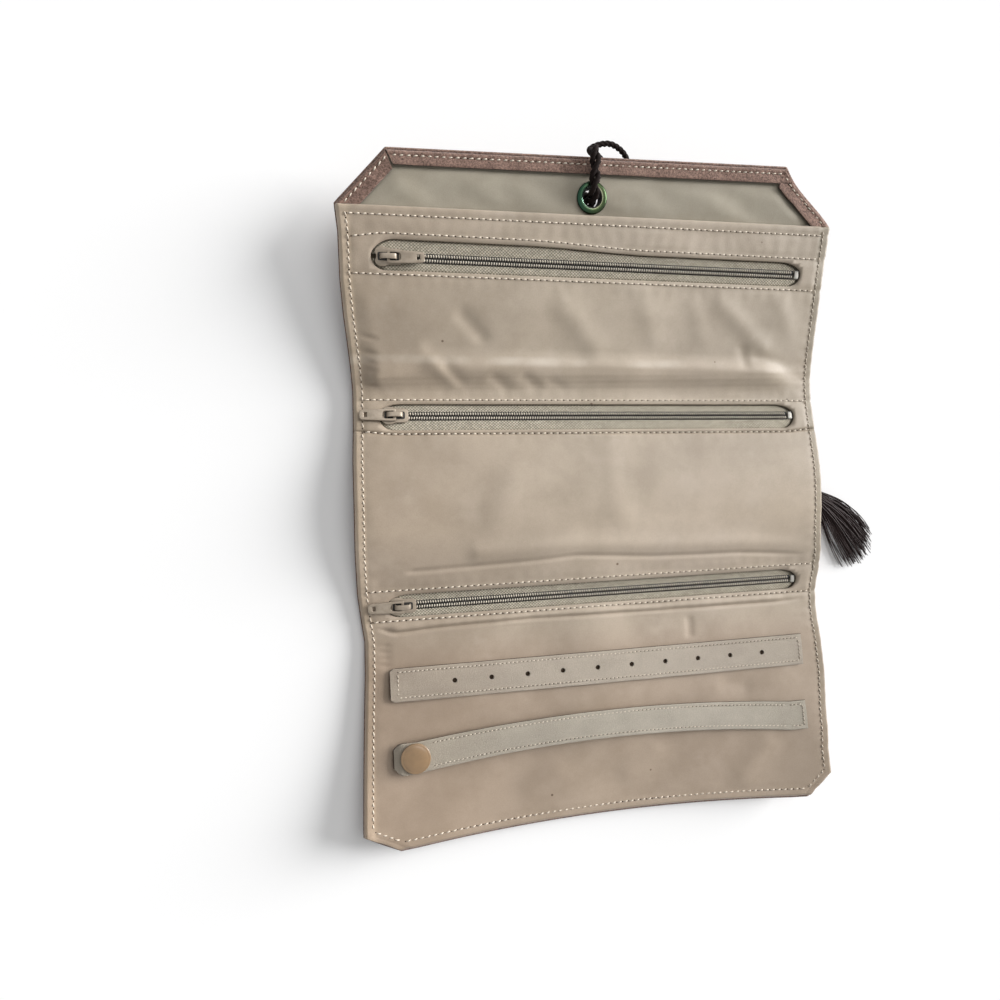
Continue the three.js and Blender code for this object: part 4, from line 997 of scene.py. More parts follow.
def tube(line, radius, sides, lobes=0, lay=1.0, depth=0.0):
    """Points and faces of a closed tube along a line. Lobes wind round it as the plies of a cord do."""
    _, across, out = path_frames(line)
    angles = ring_angles(sides)
    twist = 2 * math.pi * running_length(line)[:, None] / lay
    plies = 1 - depth + depth * np.abs(np.cos(lobes / 2 * (angles[None] - twist)))
    shape = np.broadcast_to(np.asarray(radius, float), (len(line),))[:, None] * plies
    ring = across[:, None] * np.cos(angles)[None, :, None] + out[:, None] * np.sin(angles)[None, :, None]
    points = (line[:, None] + ring * shape[..., None]).reshape(-1, 3)
    return points, tube_faces(len(line), sides)


def bent_at(fold_y, outer, bend):
    """What lets a piece bend at a fold, between two distances along the roll from it."""
    start, end = ((0, (fold_y + at) * MM, 0) for at in bend)
    return lambda piece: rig.blend(piece, "middle_panel", outer, start=start, end=end)


def make_cords():
    made = {}
    for side in STRAND_SIDE:
        line, length = smooth_path(cord_route(side), CORD_STEP)
        points, faces = tube(line, CORD_RADIUS, 18, lobes=3, lay=CORD_LAY, depth=PLY_DEPTH)
        piece = mesh_piece(f"tie_cord_{side}", points, faces, CORD_YARN)
        nodes = [f"tie_cord_{stretch}_{side}" for stretch in ("edge", "upper", "lower")]
        dressed(piece, "cord", bent_at(UPPER_FOLD_Y, "upper_panel", CORD_BEND), *nodes)
        made[side] = (piece, line, length)
    return made


def make_knot():
    """The stopper knot behind the grommet: three turns of cord wound into a ball."""
    low, high = (np.array(c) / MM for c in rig.box("tie_cord_knot"))
    t = np.linspace(0, 2 * math.pi, 90)
    swell = 1 + 0.3 * np.cos(3 * t)
    ball = np.stack([KNOT_RADIUS * np.cos(2 * t) * swell, KNOT_RADIUS * np.sin(2 * t) * swell,
                     KNOT_RISE * np.sin(3 * t)], -1)
    line = ball @ np.array(Matrix.Rotation(UPPER_TILT, 3, "X")).T + (low + high) / 2
    points, faces = tube(line, CORD_DIAMETER / 2, 12, lobes=3, lay=CORD_LAY, depth=0.3)
    piece = mesh_piece("tie_cord_stopper_knot", points, faces, CORD_YARN)
    dressed(piece, "cord", "upper_panel", "tie_cord_knot")


TASSEL_HEAD = 8.0
TASSEL_COLLAR = 2.9
TASSEL_CORE = [[1.9, 0.2], [3.1, 2.0], [3.5, 4.0], [3.1, 6.0], [1.9, 7.8]]
SKIRT_LENGTH = 63.0
SKIRT_HALF_WIDTH = 12.6
SKIRT_BOW = 5.0
STRANDS = 170
STRAND_RADIUS = 0.34
STRAND_SPREAD = 2.7
STRAND_REST = 0.35


def wound(name, start, length, radius, bulge, turns, count, thread):
    """A thread wound round the tassel's axis, wider in its middle by a bulge."""
    share = np.linspace(0, 1, count)
    angle = 2 * math.pi * turns * share
    wide = radius + bulge * np.sin(math.pi * share)
    line = np.stack([start + length * share, wide * np.cos(angle), wide * np.sin(angle)], -1)
    return mesh_piece(name, *tube(line, thread, 8), CORD_YARN)


def skirt_strands():
    """Single strands that fan out over the table."""
    draw = np.random.default_rng(21)
    floor = STRAND_REST - TASSEL_PLACE[2]
    t = np.linspace(0, 1, 15)
    made = []
    for _ in range(STRANDS):
        angle, share = draw.uniform(0, 2 * math.pi), math.sqrt(draw.uniform(0, 1))
        y0, z0 = STRAND_SPREAD * share * math.cos(angle), STRAND_SPREAD * share * math.sin(angle)
        aside = np.clip(draw.normal(0, 0.5), -1, 1) * SKIRT_HALF_WIDTH
        length = SKIRT_LENGTH * draw.uniform(0.86, 1.0) * (1 - 0.10 * (aside / SKIRT_HALF_WIDTH) ** 2)
        wave = draw.uniform(-0.9, 0.9) * np.sin(math.pi * t * draw.uniform(1.5, 3.0))
        y = y0 + (aside - y0) * ease(t) ** 1.25 + wave * t + SKIRT_BOW * np.sin(math.pi * t)
        top = z0 * (1 - t) + draw.uniform(0.35, 2.2) * t + (floor + 0.35) * ease(t * 1.25)
        line = np.stack([TASSEL_HEAD + 0.5 + length * t, y, np.maximum(top, floor)], -1)
        made.append(tube(line, STRAND_RADIUS * (1 - 0.55 * t ** 3), 5))
    return gathered(made)


def make_tassel():
    """A wound head, a wrapped collar and a skirt."""
    core = turned("tassel_head_core", TASSEL_CORE, CORD_YARN, 24)
    core.data.transform(Matrix.Rotation(math.pi / 2, 4, "Y"))
    winding = wound("tassel_head_winding", 0.6, TASSEL_HEAD - 1.2, 2.55, 1.0, 7, 260, 0.62)
    head = joined("tassel_wound_head", [winding, core])
    collar = wound("tassel_wrapped_collar", TASSEL_HEAD + 0.3, TASSEL_COLLAR, 3.35, 0.0, 5, 160, 0.38)
    skirt = mesh_piece("tassel_strands", *skirt_strands(), TASSEL_SILK)
    place = Matrix.Translation(Vector(TASSEL_PLACE) * MM) @ Matrix.Rotation(TASSEL_HEADING, 4, "Z")
    for piece, slot, node in ((head, "cord", "tassel_head"), (collar, "cord", "tassel_collar"),
                              (skirt, "tassel", "tassel_skirt")):
        dressed(moved(piece, place), slot, "middle_panel", node)
    return [head, collar, skirt]


def declare_cords(made, tassel):
    for side, (piece, line, length) in made.items():
        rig.cord(piece, exit=tuple(line[0] * MM), length=round(length * MM, 4), diameter=CORD_DIAMETER * MM,
                far_end="fitting", stiffness="limp", lay="loose", path=(line * MM).tolist(),
                with_pieces=tassel if side == "right" else tassel[:1])


# Lining: a cloth sheet sewn down along its stitch lines and slack between them

POCKET_STITCH = 4.2


def stitch_levels():
    """Distances along the roll of the stitch rows across the lining."""
    beside = (STITCH_ABOVE_ZIP, STITCH_BELOW_ZIP)
    return [along + at for along in ZIP_ALONG.values() for at in beside] + [POCKET_TOP - POCKET_STITCH]


# Folds in the lining as lines of (x, v) places, with a width and a height: ridges rise and creases fall
FOLDS = [
    ([(-63.4, 146.3), (-55.2, 137.4)], 3.4, -0.7),
    ([(-71.5, 123.3), (-65.6, 116.5)], 3.0, -0.7),
    ([(-49.3, 118.6), (-43.8, 113.6)], 2.8, -0.6),
    ([(-35.1, 119.3), (-29.6, 114.6)], 2.8, -0.6),
    ([(-21.7, 116.5), (-17.8, 114.5)], 2.8, -0.4),
    ([(-110.8, 119.2), (-101.0, 123.5), (-83.0, 130.8)], 4.0, 0.9),
    ([(-77.3, 125.5), (-67.1, 115.1)], 3.0, 0.6),
    ([(-16.0, 151.7), (-1.5, 132.4)], 6.0, 0.7),
    ([(22.0, 155.0), (28.0, 138.0)], 5.5, 0.45),
    ([(48.0, 155.0), (52.0, 140.0)], 5.0, 0.35),
    ([(62.5, 154.7), (83.5, 136.0)], 5.0, 0.75),
    ([(74.1, 133.7), (75.5, 126.9)], 2.4, -0.45),
    ([(83.0, 130.3), (95.2, 127.3), (107.4, 120.9)], 3.2, -0.6),
    ([(94.7, 155.0), (106.3, 132.2)], 5.0, 0.6),
    ([(-80.0, 123.6), (-55.0, 123.8), (0.0, 125.4), (50.0, 125.2), (104.0, 123.0)], 2.8, 0.45),
    ([(-91.0, 32.2), (-34.2, 33.9), (-13.7, 35.5), (26.2, 32.8), (69.7, 32.2), (105.0, 29.4)], 1.1, -0.6),
    ([(-60.0, 39.0), (-13.7, 41.0), (26.2, 38.3), (69.7, 37.7), (105.0, 35.0)], 4.2, 0.9),
    ([(-109.2, 6.7), (-99.0, 3.2), (-78.1, 4.3), (-34.6, 5.2), (26.5, 4.6), (91.9, 4.4), (108.8, 5.3)],
     0.8, -1.1),
    ([(-99.0, 5.4), (-78.1, 6.3), (-34.6, 7.0), (26.5, 6.5), (91.9, 6.3)], 1.5, 0.5),
    ([(44.0, -1.1), (43.9, -8.4)], 1.6, -0.6),
    ([(62.0, -34.0), (70.0, -36.0)], 5.0, -0.7),
    ([(10.0, -74.0), (22.0, -66.0)], 6.0, 0.6),
    ([(68.0, -80.0), (80.0, -66.0)], 6.0, 0.6),
    ([(-40.0, -76.0), (-28.0, -70.0)], 6.0, 0.5),
    ([(4.1, 83.4), (7.3, 54.9)], 7.0, 0.4),
    ([(-40.0, 80.0), (-52.0, 52.0)], 7.0, 0.35),
]
PUCKERS_LEFT = [137.0, 130.4, 126.2, 122.8, 115.2, -1.0, -4.0, -7.0, -10.0]
PUCKERS_RIGHT = [119.0, 114.8, 1.0, -3.0]
PUCKER_DEPTH = 0.75
ROLL_HEIGHT = 3.4
ROLL_START = 110.0
ROLL_CREST = 123.2
SLACK_WAVES = 0.35
SIDE_RAMP = {-1: 8.0, 1: 26.0}
FINE_ROWS = [(-12.0, 8.3), (28.0, 43.0), (112.5, 139.0)]


def distance_to(line, x, v):
    """Distance from each place to a line of (x, v) points."""
    nearest = np.full(np.shape(x), np.inf)
    for (x0, v0), (x1, v1) in zip(line[:-1], line[1:]):
        dx, dv = x1 - x0, v1 - v0
        share = np.clip(((x - x0) * dx + (v - v0) * dv) / (dx * dx + dv * dv), 0, 1)
        nearest = np.minimum(nearest, np.hypot(x - x0 - share * dx, v - v0 - share * dv))
    return nearest


def slack_folds(x, v):
    """How far the slack cloth stands off the shell: the roll over the upper fold, folds and puckers."""
    crest = ROLL_CREST - 0.012 * x - 6.0 * ease((-78 - x) / 34) - 2.5 * ease((x - 84) / 28)
    under = ease((v - ROLL_START) / (crest - ROLL_START - 1.0))
    over = 0.35 + 0.25 * ease((crest + 24 - v) / 24) + 0.40 * ease((crest + 9 - v) / 9)
    total = ROLL_HEIGHT * under * over * ease((STITCH_BELOW_ZIP + ZIP_ALONG[1] - v) / 16)
    total += SLACK_WAVES * smooth_noise(x, v * 0.8, 46, 3, 2)
    for line, width, height in FOLDS:
        total += height * bell(distance_to(line, x, v), width)
    for side, levels in ((-1, PUCKERS_LEFT), (1, PUCKERS_RIGHT)):
        for level in levels:
            line = [(side * 111.0, level), (side * 103.0, level - 1.6)]
            total -= PUCKER_DEPTH * bell(distance_to(line, x, v), 1.1) * ease((np.abs(x) - 99) / 8)
    ramp_length = np.where(x > 0, SIDE_RAMP[1], SIDE_RAMP[-1])
    return total * ease((half_width(v, np.sign(x)) - SIDE_STITCH - np.abs(x)) / ramp_length)


PAIR_STIFFNESS = {(1, 0): 1.0, (0, 1): 1.0, (1, 1): 0.5, (1, -1): 0.5, (2, 0): 0.25, (0, 2): 0.25}
CLOTH_SAG = 0.006
CLOTH_EASE = 1.0015
SETTLE_ROUNDS = 40


def cloth_pairs(cut, free):
    """Pairs of points with their rest lengths: one step along, across, on the diagonals and over two steps.

    They come in groups in which no point is used twice.
    """
    rows, columns = free.shape
    index = np.arange(rows * columns).reshape(rows, columns)
    spots, weights = cut.reshape(-1, 3), free.ravel()
    groups = []
    for (dr, dc), stiff in PAIR_STIFFNESS.items():
        c0, c1 = max(0, -dc), columns - max(0, dc)
        a, b = index[:rows - dr, c0:c1], index[dr:, c0 + dc:c1 + dc]
        block = np.arange(rows - dr)[:, None] // dr if dr else np.arange(c0, c1)[None] // dc
        odd = np.broadcast_to(block % 2, a.shape)
        for parity in (0, 1):
            chosen = (odd == parity) & (weights[a] + weights[b] > 0)
            first, second = a[chosen], b[chosen]
            rest = np.linalg.norm(spots[second] - spots[first], axis=1) * CLOTH_EASE
            groups.append((first, second, rest, stiff))
    return groups


def settle(points, groups, free, floor, rounds):
    """Lets a sheet of cloth find its shape under its own weight, between the points that are sewn down."""
    p = points.reshape(-1, 3)
    weights = free.ravel()
    lowest = floor.ravel()
    for _ in range(rounds):
        p[:, 2] -= CLOTH_SAG * weights
        for a, b, rest, stiff in groups:
            d = p[b] - p[a]
            length = np.maximum(np.linalg.norm(d, axis=1), 1e-9)
            share = stiff * (1 - rest / length) / np.maximum(weights[a] + weights[b], 1)
            p[a] += d * (share * weights[a])[:, None]
            p[b] -= d * (share * weights[b])[:, None]
        p[:, 2] = np.maximum(p[:, 2], lowest)
    return points


LIP_ROLL = 1.2
LINING_STEP = 1.7
LINING_FINE_STEP = 0.7
SEWN_MARGIN = 0.6
POCKET_SEWN = 5.0
SAG_LIMIT = 1.2
SLOT_GROW = 0.1


def edge_columns(step, *keys):
    """Columns across the roll as shares of its half width, closer where its edges roll over."""
    edge = HALF_WIDTH - EDGE_INSETS
    right = np.concatenate([edge[:-1], stations([edge[-1], *keys, 0], step)])
    return np.concatenate([-right, right[::-1][1:]]) / HALF_WIDTH


def lining_rows():
    slots = [along + side * SLOT_HALF_HEIGHT for along in ZIP_ALONG.values() for side in (-1, 1)]
    lip = POCKET_TOP - LIP_ROLL
    keys = [-LOWER_LENGTH + EDGE_ROUND, *CLIP_STARTS, lip, *stitch_levels(), *slots]
    bottom = -LOWER_LENGTH + EDGE_INSETS[:-1]
    middle = closer_stations(keys, FINE_ROWS, LINING_STEP, LINING_FINE_STEP)
    return np.concatenate([bottom, middle, lip + np.array([0.5, 0.9, 1.15, LIP_ROLL])])


def roll_grid(v_rows, shares, less=0.0):
    """X and v of a sheet's points in rows, and its half width at each."""
    v = np.repeat(np.asarray(v_rows)[:, None], len(shares), 1)
    wide = half_width(v, np.sign(shares)[None]) - less
    return shares[None] * wide, v, wide


def lining_heights(x, v):
    inset = np.minimum(half_width(v, np.sign(x)) - np.abs(x), v + LOWER_LENGTH)
    n = rounded_edge(inset, EDGE_MIDDLE, LINING_TOP)
    lip = np.clip((v - (POCKET_TOP - LIP_ROLL)) / LIP_ROLL, 0, 1)
    return n - (LINING_TOP - FLAP_LINING_TOP - 0.9) * (1 - np.sqrt(1 - lip ** 2))


STITCH_VALLEY = 0.50
SIDE_VALLEY = 0.45
RIPPLE = 0.10
RIPPLE_LENGTH = 6.6
SIDE_RIPPLE_LENGTH = 7.0


def puckers(x, v):
    """Valleys that the stitches pull into the cloth, with small ripples beside them."""
    depth = np.zeros_like(v)
    for k, level in enumerate(stitch_levels()):
        off = v - level
        phase = x * 2 * math.pi / RIPPLE_LENGTH + 2.1 * k + 1.5 * smooth_noise(x, v, 40, 60 + k, 1)
        depth += STITCH_VALLEY * bell(off, 1.3)
        depth += RIPPLE * bell(np.abs(off) - 3.0, 2.2) * np.sin(phase)
    side = half_width(v, np.sign(x)) - SIDE_STITCH - np.abs(x)
    phase = v * 2 * math.pi / SIDE_RIPPLE_LENGTH + np.sign(x)
    depth += SIDE_VALLEY * bell(side, 1.2)
    depth += RIPPLE * bell(np.abs(side) - 2.5, 2.0) * np.sin(phase)
    depth += SIDE_VALLEY * bell(v + LOWER_LENGTH - SIDE_STITCH, 1.3)
    return depth


def make_lining():
    v_rows = lining_rows()
    shares = edge_columns(LINING_STEP, HALF_WIDTH - SIDE_STITCH, SLOT_HALF_LENGTH)
    x, v, wide = roll_grid(v_rows, shares)
    heights = lining_heights(x, v)
    reach = SIDE_STITCH + SEWN_MARGIN
    sewn = (wide - np.abs(x) < reach) | (v < -LOWER_LENGTH + reach) | (v > POCKET_TOP - POCKET_SEWN)
    for along in ZIP_ALONG.values():
        t = v - along
        sewn |= (t > STITCH_BELOW_ZIP - SEWN_MARGIN) & (t < STITCH_ABOVE_ZIP + SEWN_MARGIN)
    free = np.where(sewn, 0.0, 1.0)
    points = surface(x, v, heights + np.where(sewn, 0, slack_folds(x, v)))
    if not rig.quick():
        lowest = surface(x, v, heights - SAG_LIMIT)[..., 2]
        points = settle(points.copy(), cloth_pairs(points, free), free, lowest, SETTLE_ROUNDS)
    points[..., 2] -= puckers(x, v)
    return v_rows, x, v, points


SLOT_END_UPPER = 11.0
SLOT_END_LOWER = 6.5


def slot_ends(t):
    """Length of a slot's elliptic ends: longer above the chain than below it."""
    return np.where(np.asarray(t) > 0, SLOT_END_UPPER, SLOT_END_LOWER)


def slot_share(x, t, grow=0.0):
    """A place as shares of a slot's outline: out from the start of its elliptic end, and across it."""
    reach = slot_ends(t)
    past = np.maximum(np.abs(x) - (SLOT_HALF_LENGTH - reach), 0) / (reach + grow)
    return past, t / (SLOT_HALF_HEIGHT + grow)


def snapped_to_slot(x, t):
    """A place on a slot's outline: straight up or down, or outwards from the middle of an elliptic end."""
    reach = slot_ends(t)
    past, level = slot_share(x, t)
    size = np.hypot(past, level)
    round_x = np.sign(x) * (SLOT_HALF_LENGTH - reach + reach * past / size)
    round_t = SLOT_HALF_HEIGHT * level / size
    straight = past == 0
    return np.where(straight, x, round_x), np.where(straight, np.sign(t) * SLOT_HALF_HEIGHT, round_t)


def lining_sheets():
    """The lining's top and bottom sheets, with the zippers' slots cut out."""
    v_rows, x, v, points = make_lining()
    rows, columns = v.shape
    quads = np.array(grid_faces(rows, columns))
    flat_x, flat_v, spots = x.ravel(), v.ravel(), points.reshape(-1, 3)
    keep = np.ones(len(quads), bool)
    for along in ZIP_ALONG.values():
        t = flat_v - along
        hole = np.hypot(*slot_share(flat_x[quads].mean(1), t[quads].mean(1), SLOT_GROW)) < 1
        keep &= ~hole
        rim = np.intersect1d(quads[hole], quads[~hole])
        sx, st = snapped_to_slot(flat_x[rim], t[rim])
        spots[rim] = surface(sx, st + along, LINING_TOP - 0.15 + 0.35 * (st > 2))
    above = np.repeat(np.arange(rows - 1) >= np.argmin(np.abs(v_rows - SEAM_V)), columns - 1)
    parts = {}
    for name, inside in (("top", above), ("bottom", ~above)):
        used, faces = np.unique(quads[keep & inside], return_inverse=True)
        piece = mesh_piece(f"lining_{name}_cloth", spots[used], faces.reshape(-1, 4).tolist(), LINING_CLOTH)
        parts[name] = thick(piece, LINING_THICKNESS)
    return parts


# Where the cloth starts and ends to bend at a fold, along the roll from the fold
UPPER_BEND = (-6.0, 12.0)
LOWER_BEND = (5.0, -9.0)
FOLD_OF = {"top": bent_at(UPPER_FOLD_Y, "upper_panel", UPPER_BEND),
           "bottom": bent_at(LOWER_FOLD_Y, "lower_panel", LOWER_BEND)}


def dress_lining():
    parts = lining_sheets()
    for part, length, rests_on, nodes in (
            ("top", POCKET_TOP - SEAM_V, "outer_shell_upper", ["lining_upper"]),
            ("bottom", SEAM_V + LOWER_LENGTH, "outer_shell_middle", ["lining_middle", "lining_lower"])):
        dressed(parts[part], "lining", FOLD_OF[part], *nodes)
        cut_flat(parts[part], 2 * HALF_WIDTH, length, rests_on)


# Shell, pocket cloth and flap

def plain_sheet(name, v_rows, shares, height, material, thickness, less=0.0, hole=5.0):
    """A sheet over the roll's shape at a height given by a function of x, v and the distance to the edge.

    The grommet's bore goes through it.
    """
    x, v, wide = roll_grid(v_rows, shares, less)
    inset = np.minimum(np.minimum(wide - np.abs(x), v + LOWER_LENGTH), FLAP_TOP - v)
    points = surface(x, v, height(x, v, inset)).reshape(-1, 3)
    quads = np.array(grid_faces(*v.shape))
    off_grommet = np.hypot(x - GROMMET_X, v - MIDDLE_SPAN - GROMMET_S).ravel()
    faces = quads[off_grommet[quads].mean(1) > hole].tolist()
    return thick(mesh_piece(name, points, faces, material), thickness)


SHELL_STEP = 3.0
SHELL_BEND_STEP = 0.6


def shell_height(x, v, inset):
    waves = 0.35 * smooth_noise(x, v, 38, 31, 2) * ease((inset - 4) / 8)
    return rounded_edge(inset, EDGE_MIDDLE, SHELL_THICKNESS) + waves * 0.6


def dress_shell():
    """The outer suede in two sheets that meet at the middle panel's seam, rolled up at its sewn edges."""
    low = -LOWER_LENGTH + EDGE_INSETS[:-1]
    high = FLAP_TOP - EDGE_INSETS[:-1][::-1]
    lower_keys, upper_keys = [low[-1] + 1.2, *CLIP_STARTS, SEAM_V], [SEAM_V, POCKET_TOP]
    upper_bend = [tuple(MIDDLE_SPAN + at for at in UPPER_BEND)]
    lower = closer_stations(lower_keys, [LOWER_BEND[::-1]], SHELL_STEP, SHELL_BEND_STEP)
    upper = closer_stations(upper_keys, upper_bend, SHELL_STEP, SHELL_BEND_STEP)
    flap = stations([POCKET_TOP, high[0] - 1.2], 1.5)
    for part, rows, nodes in (
            ("bottom", np.concatenate([low, lower]), ["outer_shell_middle", "outer_shell_lower"]),
            ("top", np.concatenate([upper[:-1], flap, high]), ["outer_shell_upper"])):
        piece = plain_sheet(f"outer_shell_{part}_suede", rows, edge_columns(1.5), shell_height, SHELL_SUEDE,
                            SHELL_THICKNESS, SHELL_INSET)
        dressed(piece, "suede", FOLD_OF[part], *nodes)
        cut_flat(piece, 2 * HALF_WIDTH, float(rows[-1] - rows[0]), nodes[0])


BACKING_INSET = 6.4
BACKING_LEVEL = 1.95
BACKING_THICKNESS = 0.35


def backing_height(x, v, _):
    return BACKING_LEVEL + 0.1 * smooth_noise(x, v, 30, 41, 1)


def dress_backing():
    """Thin pocket cloth inside the panels."""
    shares = np.linspace(-1, 1, 60) * (HALF_WIDTH - BACKING_INSET) / HALF_WIDTH
    for part, low, high, nodes in (
            ("bottom", -LOWER_LENGTH + 8, SEAM_V, ["pocket_backing_lower", "pocket_backing_middle"]),
            ("top", SEAM_V, POCKET_TOP - 6.5, ["pocket_backing_upper"])):
        rows = stations([low, high], 4.0)
        piece = plain_sheet(f"pocket_cloth_{part}", rows, shares, backing_height, BACKING_CLOTH,
                            BACKING_THICKNESS)
        dressed(piece, "backing", FOLD_OF[part], *nodes)
        cut_flat(piece, 2 * (HALF_WIDTH - BACKING_INSET), high - low, nodes[0])


def flap_lining_height(x, v, _):
    slant = FLAP_LENGTH / math.hypot(FLAP_LENGTH, FLAP_CLIP)
    inset = np.minimum((half_width(v, np.sign(x)) - np.abs(x)) * slant, FLAP_TOP - v)
    soft = ease((inset - 8) / 6) * ease((v - POCKET_TOP + 1) / 6)
    groove = 0.45 * bell(inset - HEM_WIDTH - 0.3, 1.3)
    return FLAP_LINING_TOP + (0.4 * smooth_noise(x + 0.8 * v, v, 42, 51, 2) + 0.25) * soft - groove


def dress_flap_lining():
    rows = stations([POCKET_TOP - 5.5, POCKET_TOP, FLAP_TOP - 1.4], 1.2)
    shares = np.linspace(-1, 1, 150) * (HALF_WIDTH - 1.6) / HALF_WIDTH
    piece = plain_sheet("flap_lining_cloth", rows, shares, flap_lining_height, FLAP_CLOTH,
                        FLAP_LINING_THICKNESS, hole=5.2)
    dressed(piece, "flap_lining", "upper_panel", "flap_lining")
    cut_flat(piece, 2 * HALF_WIDTH, rows[-1] - rows[0], "outer_shell_upper")


HEM_WIDTH = 6.5
HEM_STITCH = 2.5
SLANT_GAIN = 1.4
# A hem's section as (distance in from the edge, height). Its cut edge is at three of the points
HEM_SECTION = [(0.0, 1.5), (0.12, 2.3), (0.5, 3.0), (1.2, 3.45), (1.8, 3.5), (2.5, 3.15), (3.3, 3.5),
               (5.4, 3.5), (6.1, 3.75), (6.45, 3.6), (6.5, 3.0), (5.4, 2.6), (1.9, 2.45), (1.5, 1.6),
               (1.2, 0.4), (0.5, 0.25), (0.1, 0.8)]
HEM_CUT = {9, 10, 11}
MITRE_GAP = 0.25
HEMS = ("top", "left", "right")


def hem_line(where):
    """Start, end and inward direction of a hem's outer edge, as (x, v) pairs, and its mitre at each end."""
    top = HALF_WIDTH - FLAP_CLIP
    slant = unit(np.array([-FLAP_CLIP, FLAP_LENGTH]))
    inward = np.array([-slant[1], slant[0]])
    mitre = -math.tan(math.atan2(FLAP_LENGTH, FLAP_CLIP) / 2)
    if where == "top":
        right = top - flap_dent(1.0)
        start, end = np.array([-top, FLAP_TOP]), np.array([right, FLAP_TOP])
        return start, end, np.array([0.0, -1.0]), (-mitre, -mitre)
    start, end = np.array([HALF_WIDTH, POCKET_TOP]), np.array([top, FLAP_TOP])
    lower = -inward[1] / slant[1]
    if where == "left":
        flip = np.array([-1, 1])
        return start * flip, end * flip, inward * flip, (lower, mitre)
    return start, end, inward, (lower, mitre)


def hem_shift(where, v):
    """How far a slanted hem's points follow the flap's edge sideways."""
    side = {"top": 0, "left": -1, "right": 1}[where]
    rise = np.clip((v - POCKET_TOP) / FLAP_LENGTH, 0, 1)
    return side * (half_width(v, side) - HALF_WIDTH + FLAP_CLIP * rise)


def dress_hems():
    """The shell turned over the flap's edges, with near-black cut edges inside: partly their own dark edge, partly
    painted shade under each hem.
    """
    section = np.array(HEM_SECTION)
    count = len(section)
    for where in HEMS:
        start, end, inward, (first, last) = hem_line(where)
        length = np.linalg.norm(end - start)
        ahead = (end - start) / length
        share = np.linspace(0, 1, max(8, round(length / 2.0)))
        q, n = section[:, 0][None], section[:, 1][None]
        if where == "top":
            s0 = np.maximum(q * first, 0.0) + MITRE_GAP
        else:
            q = q + (SLANT_GAIN - 1) * np.maximum(q - HEM_STITCH, 0)
            s0 = q * first
        along = s0 + (length + q * last - MITRE_GAP - s0) * share[:, None]
        wave = 0.22 * smooth_noise(along, q * 0, 17, 71 + len(where), 2)
        place = start + ahead * along[..., None] + inward * q[..., None]
        place[..., 0] += hem_shift(where, place[..., 1])
        rise = np.where(n > 2, wave + 0.10 * smooth_noise(along, q * 3, 7, 75, 1), 0)
        points = surface(place[..., 0], place[..., 1], n + rise)
        faces = tube_faces(len(share), count)
        piece = mesh_piece(f"turned_hem_{where}_suede", points.reshape(-1, 3), faces, SHELL_SUEDE)
        # The cut edge's faces take near-black suede, partly painted shade
        marked(piece, CUT_EDGE_AND_SHADE, [{k % count for k in face} <= HEM_CUT for face in faces])
        dressed(crisp(piece, 50), "suede", "upper_panel", f"turned_hem_{where}")


# Stitching

STITCH_PITCH = 3.0
BAND_PITCH = 2.0
STITCH_SHARE = 0.64
STITCH_RADIUS = 0.105
STITCH_SLANT = 0.14
NEEDLE_RADIUS = 0.12
STITCH_ARCH = 0.42
STITCH_SUNK = 0.28
HEM_SEAT = 3.3


def tiny_dome(centre, ahead, aside, up, radius):
    """Points and faces of a low closed dome."""
    ring = ring_angles(6)
    rim = centre + radius * (ahead * 0.9 * np.cos(ring)[:, None] + aside * np.sin(ring)[:, None])
    points = np.concatenate([rim, [centre + up * 0.10, centre - up * 0.30]])
    return points, [(k, m, 6) for k, m in wrapped(6)] + [(m, k, 7) for k, m in wrapped(6)]


def stitches(line, normals, pitch, stretch=1.0):
    """Thread stitches along a line, each dipping into the cloth at its ends, and near-black domes of painted shade at
    the needle holes between.

    Where a fold will stretch the line, they are sewn closer by that much.
    """
    reach = running_length(line, stretch)
    count = max(1, int(reach[-1] / pitch))
    starts = (reach[-1] - count * pitch) / 2 + pitch * np.arange(count)
    ring = ring_angles(6)
    t = np.linspace(0, 1, 6)
    threads, holes = [], []
    for start in starts:
        span = start + pitch * ((1 - STITCH_SHARE) / 2 + STITCH_SHARE * t)
        centre, up = read_along(span, reach, line), unit(read_along(span, reach, normals))
        ahead = unit(centre[-1:] - centre[:1])
        aside = np.cross(up, ahead)
        rise = STITCH_ARCH * np.sin(math.pi * t) - STITCH_SUNK
        middle = centre + up * rise[:, None] + aside * (pitch * STITCH_SLANT * (t - 0.5))[:, None]
        width = pitch * STITCH_RADIUS * (0.6 + 0.4 * np.sin(math.pi * t))[:, None, None]
        loop = middle[:, None] + width * (aside[:, None] * np.cos(ring)[None, :, None]
                                          + up[:, None] * np.sin(ring)[None, :, None])
        threads.append((loop.reshape(-1, 3), tube_faces(6, 6)))
        hole = read_along([start], reach, line)[0] - up[0] * 0.10
        close = np.linalg.norm(centre[-1] - centre[0]) / (pitch * STITCH_SHARE)
        holes.append(tiny_dome(hole, ahead[0] * close, aside[0], up[0], pitch * NEEDLE_RADIUS))
    return threads, holes


def stitched(name, rows, slot, carried, pitch=STITCH_PITCH):
    """One object of stitch rows, each given as a line, its normals and how much a fold stretches it."""
    threads, holes = [], []
    for line, normals, *stretch in rows:
        row_threads, row_holes = stitches(line, normals, pitch, *stretch)
        threads += row_threads
        holes += row_holes
    points, faces = gathered(threads + holes)
    piece = mesh_piece(name, points, faces, STITCH_THREAD)
    thread_faces = sum(len(part[1]) for part in threads)
    marked(piece, NEEDLE_HOLE_SHADE, np.arange(len(faces)) >= thread_faces)
    dressed(piece, slot, carried)


